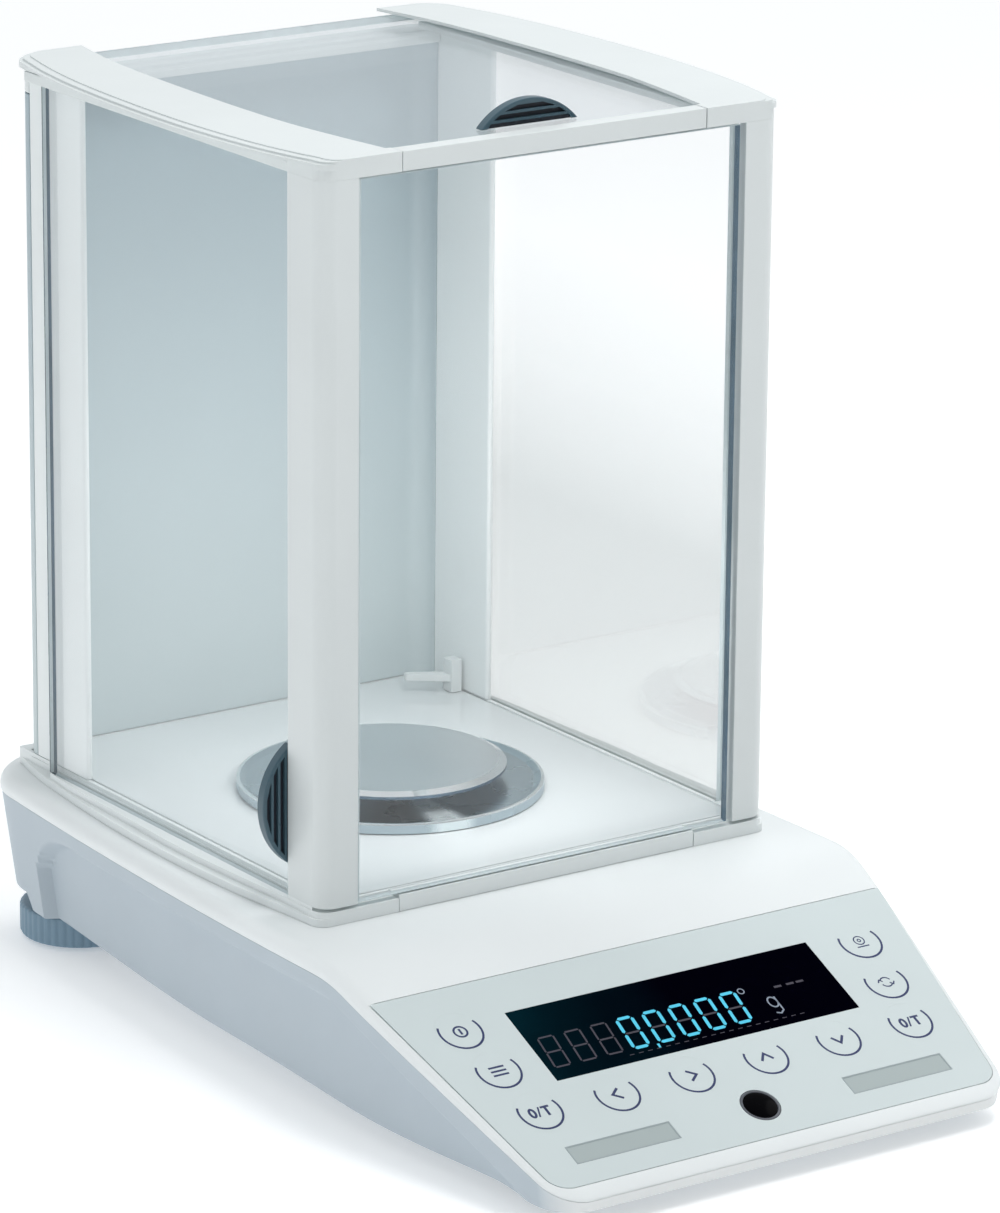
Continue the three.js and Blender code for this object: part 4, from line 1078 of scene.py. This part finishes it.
# ------------------------ stage, light, camera
def add_camera():
    azimuth, elevation, roll = (math.radians(CAMERA[angle]) for angle in ("azimuth", "elevation", "roll"))
    level = Vector((math.sin(azimuth), -math.cos(azimuth), 0))
    back = level * math.cos(elevation) + Vector((0, 0, math.sin(elevation)))
    right = (-back).cross(Vector((0, 0, 1))).normalized()
    up = right.cross(-back)
    x = right * math.cos(roll) + up * math.sin(roll)
    y = up * math.cos(roll) - right * math.sin(roll)
    data = bpy.data.cameras.new("camera")
    data.lens = CAMERA["lens"]
    data.sensor_width = CAMERA["sensor"]
    data.clip_end = 100
    camera = bpy.data.objects.new("camera", data)
    matrix = Matrix((x, y, back)).transposed().to_4x4()
    matrix.translation = CAMERA["place"]
    camera.matrix_world = matrix
    bpy.context.scene.collection.objects.link(camera)
    bpy.context.scene.camera = camera


def add_floor():
    """Pale floor that glows a little more far away, where the lamps do not reach."""
    half = FLOOR["half"]
    corners = [(-half, -half, 0), (half, -half, 0), (half, half, 0), (-half, half, 0)]
    floor = new_object("floor", corners, [(0, 1, 2, 3)], scale=1.0)
    material, nodes, links, shader, place = new_material("floor")
    drift = noise_node(nodes, links, place, 3.0).outputs["Fac"]
    tone = mix_colours(nodes, links, drift, (0.93, 0.935, 0.94), (0.945, 0.95, 0.95))
    links.new(tone, shader.inputs["Base Color"])
    shader.inputs["Roughness"].default_value = 0.8
    shader.inputs["Specular IOR Level"].default_value = 0.1
    shader.inputs["Emission Color"].default_value = (1, 1, 1, 1)
    away = nodes.new("ShaderNodeVectorMath")
    away.operation = "LENGTH"
    links.new(place, away.inputs[0])
    glows = FLOOR["glow"], FLOOR["far_glow"]
    glow = map_range(nodes, links, away.outputs["Value"], *glows, FLOOR["near"], FLOOR["far"])
    links.new(glow, shader.inputs["Emission Strength"])
    floor.data.materials.append(material)


def area_light(name, position, target, size, power, mirrored):
    data = bpy.data.lights.new(name, "AREA")
    data.shape = "DISK"
    data.size = size
    data.energy = power
    lamp = bpy.data.objects.new(name, data)
    lamp.location = position
    lamp.rotation_euler = (Vector(target) - Vector(position)).to_track_quat("-Z", "Y").to_euler()
    lamp.visible_camera = False
    lamp.visible_glossy = mirrored
    bpy.context.scene.collection.objects.link(lamp)


def add_light():
    """Soft sky, brighter behind the object than ahead of it, and the lamps."""
    world = bpy.data.worlds.new("studio")
    world.use_nodes = True
    nodes, links = world.node_tree.nodes, world.node_tree.links
    background = nodes["Background"]
    place = nodes.new("ShaderNodeTexCoord").outputs["Generated"]
    height = one_axis(nodes, links, place, "Z")
    sky = mix_colours(nodes, links, height, SKY["low"], SKY["high"], 0.0, SKY["high_at"])
    links.new(sky, background.inputs["Color"])
    depth = one_axis(nodes, links, place, "Y")
    strength = map_range(nodes, links, depth, SKY["ahead"], SKY["behind"], -1.0, 1.0)
    links.new(strength, background.inputs["Strength"])
    bpy.context.scene.world = world
    for name, settings in LIGHTS.items():
        area_light(name, *settings)


# ------------------------ build
add_camera()
add_floor()
add_light()
upper_casing()
lower_casing()
control_foil()
build_keys()
build_display()
build_labels_and_vial()
for wheel_side in ("left", "right"):
    foot_wheel(wheel_side)
for pane_node in ("left_door_glass", "right_door_glass", "front_glass", "top_door_glass"):
    pane(pane_node)
grip("left_door_handle", GRIP["side_rise"])
grip("right_door_handle", GRIP["side_rise"])
grip("top_door_handle", GRIP["top_rise"])
build_pan()
build_tray()
# node: (look, edge rounding, how far its ends reach out)
SHIELD = {
    # the column look is the shield white with painted light
    "shield_base": ("column", 0.5, 0),
    "front_bottom_bar": ("column", 0.3, 0),
    "front_top_bar": ("shield", 0.3, 0),
    "rear_top_bar": ("shield", 0.6, 0),
    "shield_latch": ("shield", 0.5, 0),
}
SHIELD_PAIRS = {
    "front_post": ("shield", 0.3, 0.4),
    "rear_column": ("column", 0.3, 0),
    "top_rail": ("shield", 0.25, 0),
    "top_cap": ("shield", 0.8, 0),
}
for strip, finish in SHIELD_PAIRS.items():
    SHIELD["left_" + strip] = SHIELD["right_" + strip] = finish
for node, (look, width, reach) in SHIELD.items():
    refined(node, LOOKS[look], width, 3, reach=reach)
refined("back_panel", LOOKS["wall"], 0.2, angle=25)
refined("chamber_floor", LOOKS["floor"], 0.3)

# CAD nodes that keep their own shape and only get a material
CAD_LOOKS = {
    "left_foot_pad": "rubber", "right_foot_pad": "rubber",
    "left_front_foot": "rubber", "right_front_foot": "rubber",
    "pan_carrier": "steel", "cell_base": "alloy", "cell_beam": "alloy", "coil_former": "copper",
    "magnet_pot": "alloy", "calibration_weight": "brass", "calibration_lifter": "alloy",
    "calibration_motor": "black", "main_board": "board", "key_board": "board", "display_module": "black",
    "serial_port": "steel", "power_jack": "black",
}
for node, look in CAD_LOOKS.items():
    cad_mesh = frame["nodes"][node].data
    cad_mesh.materials.clear()
    cad_mesh.materials.append(LOOKS[look])

bpy.context.scene.view_settings.view_transform = "Standard"
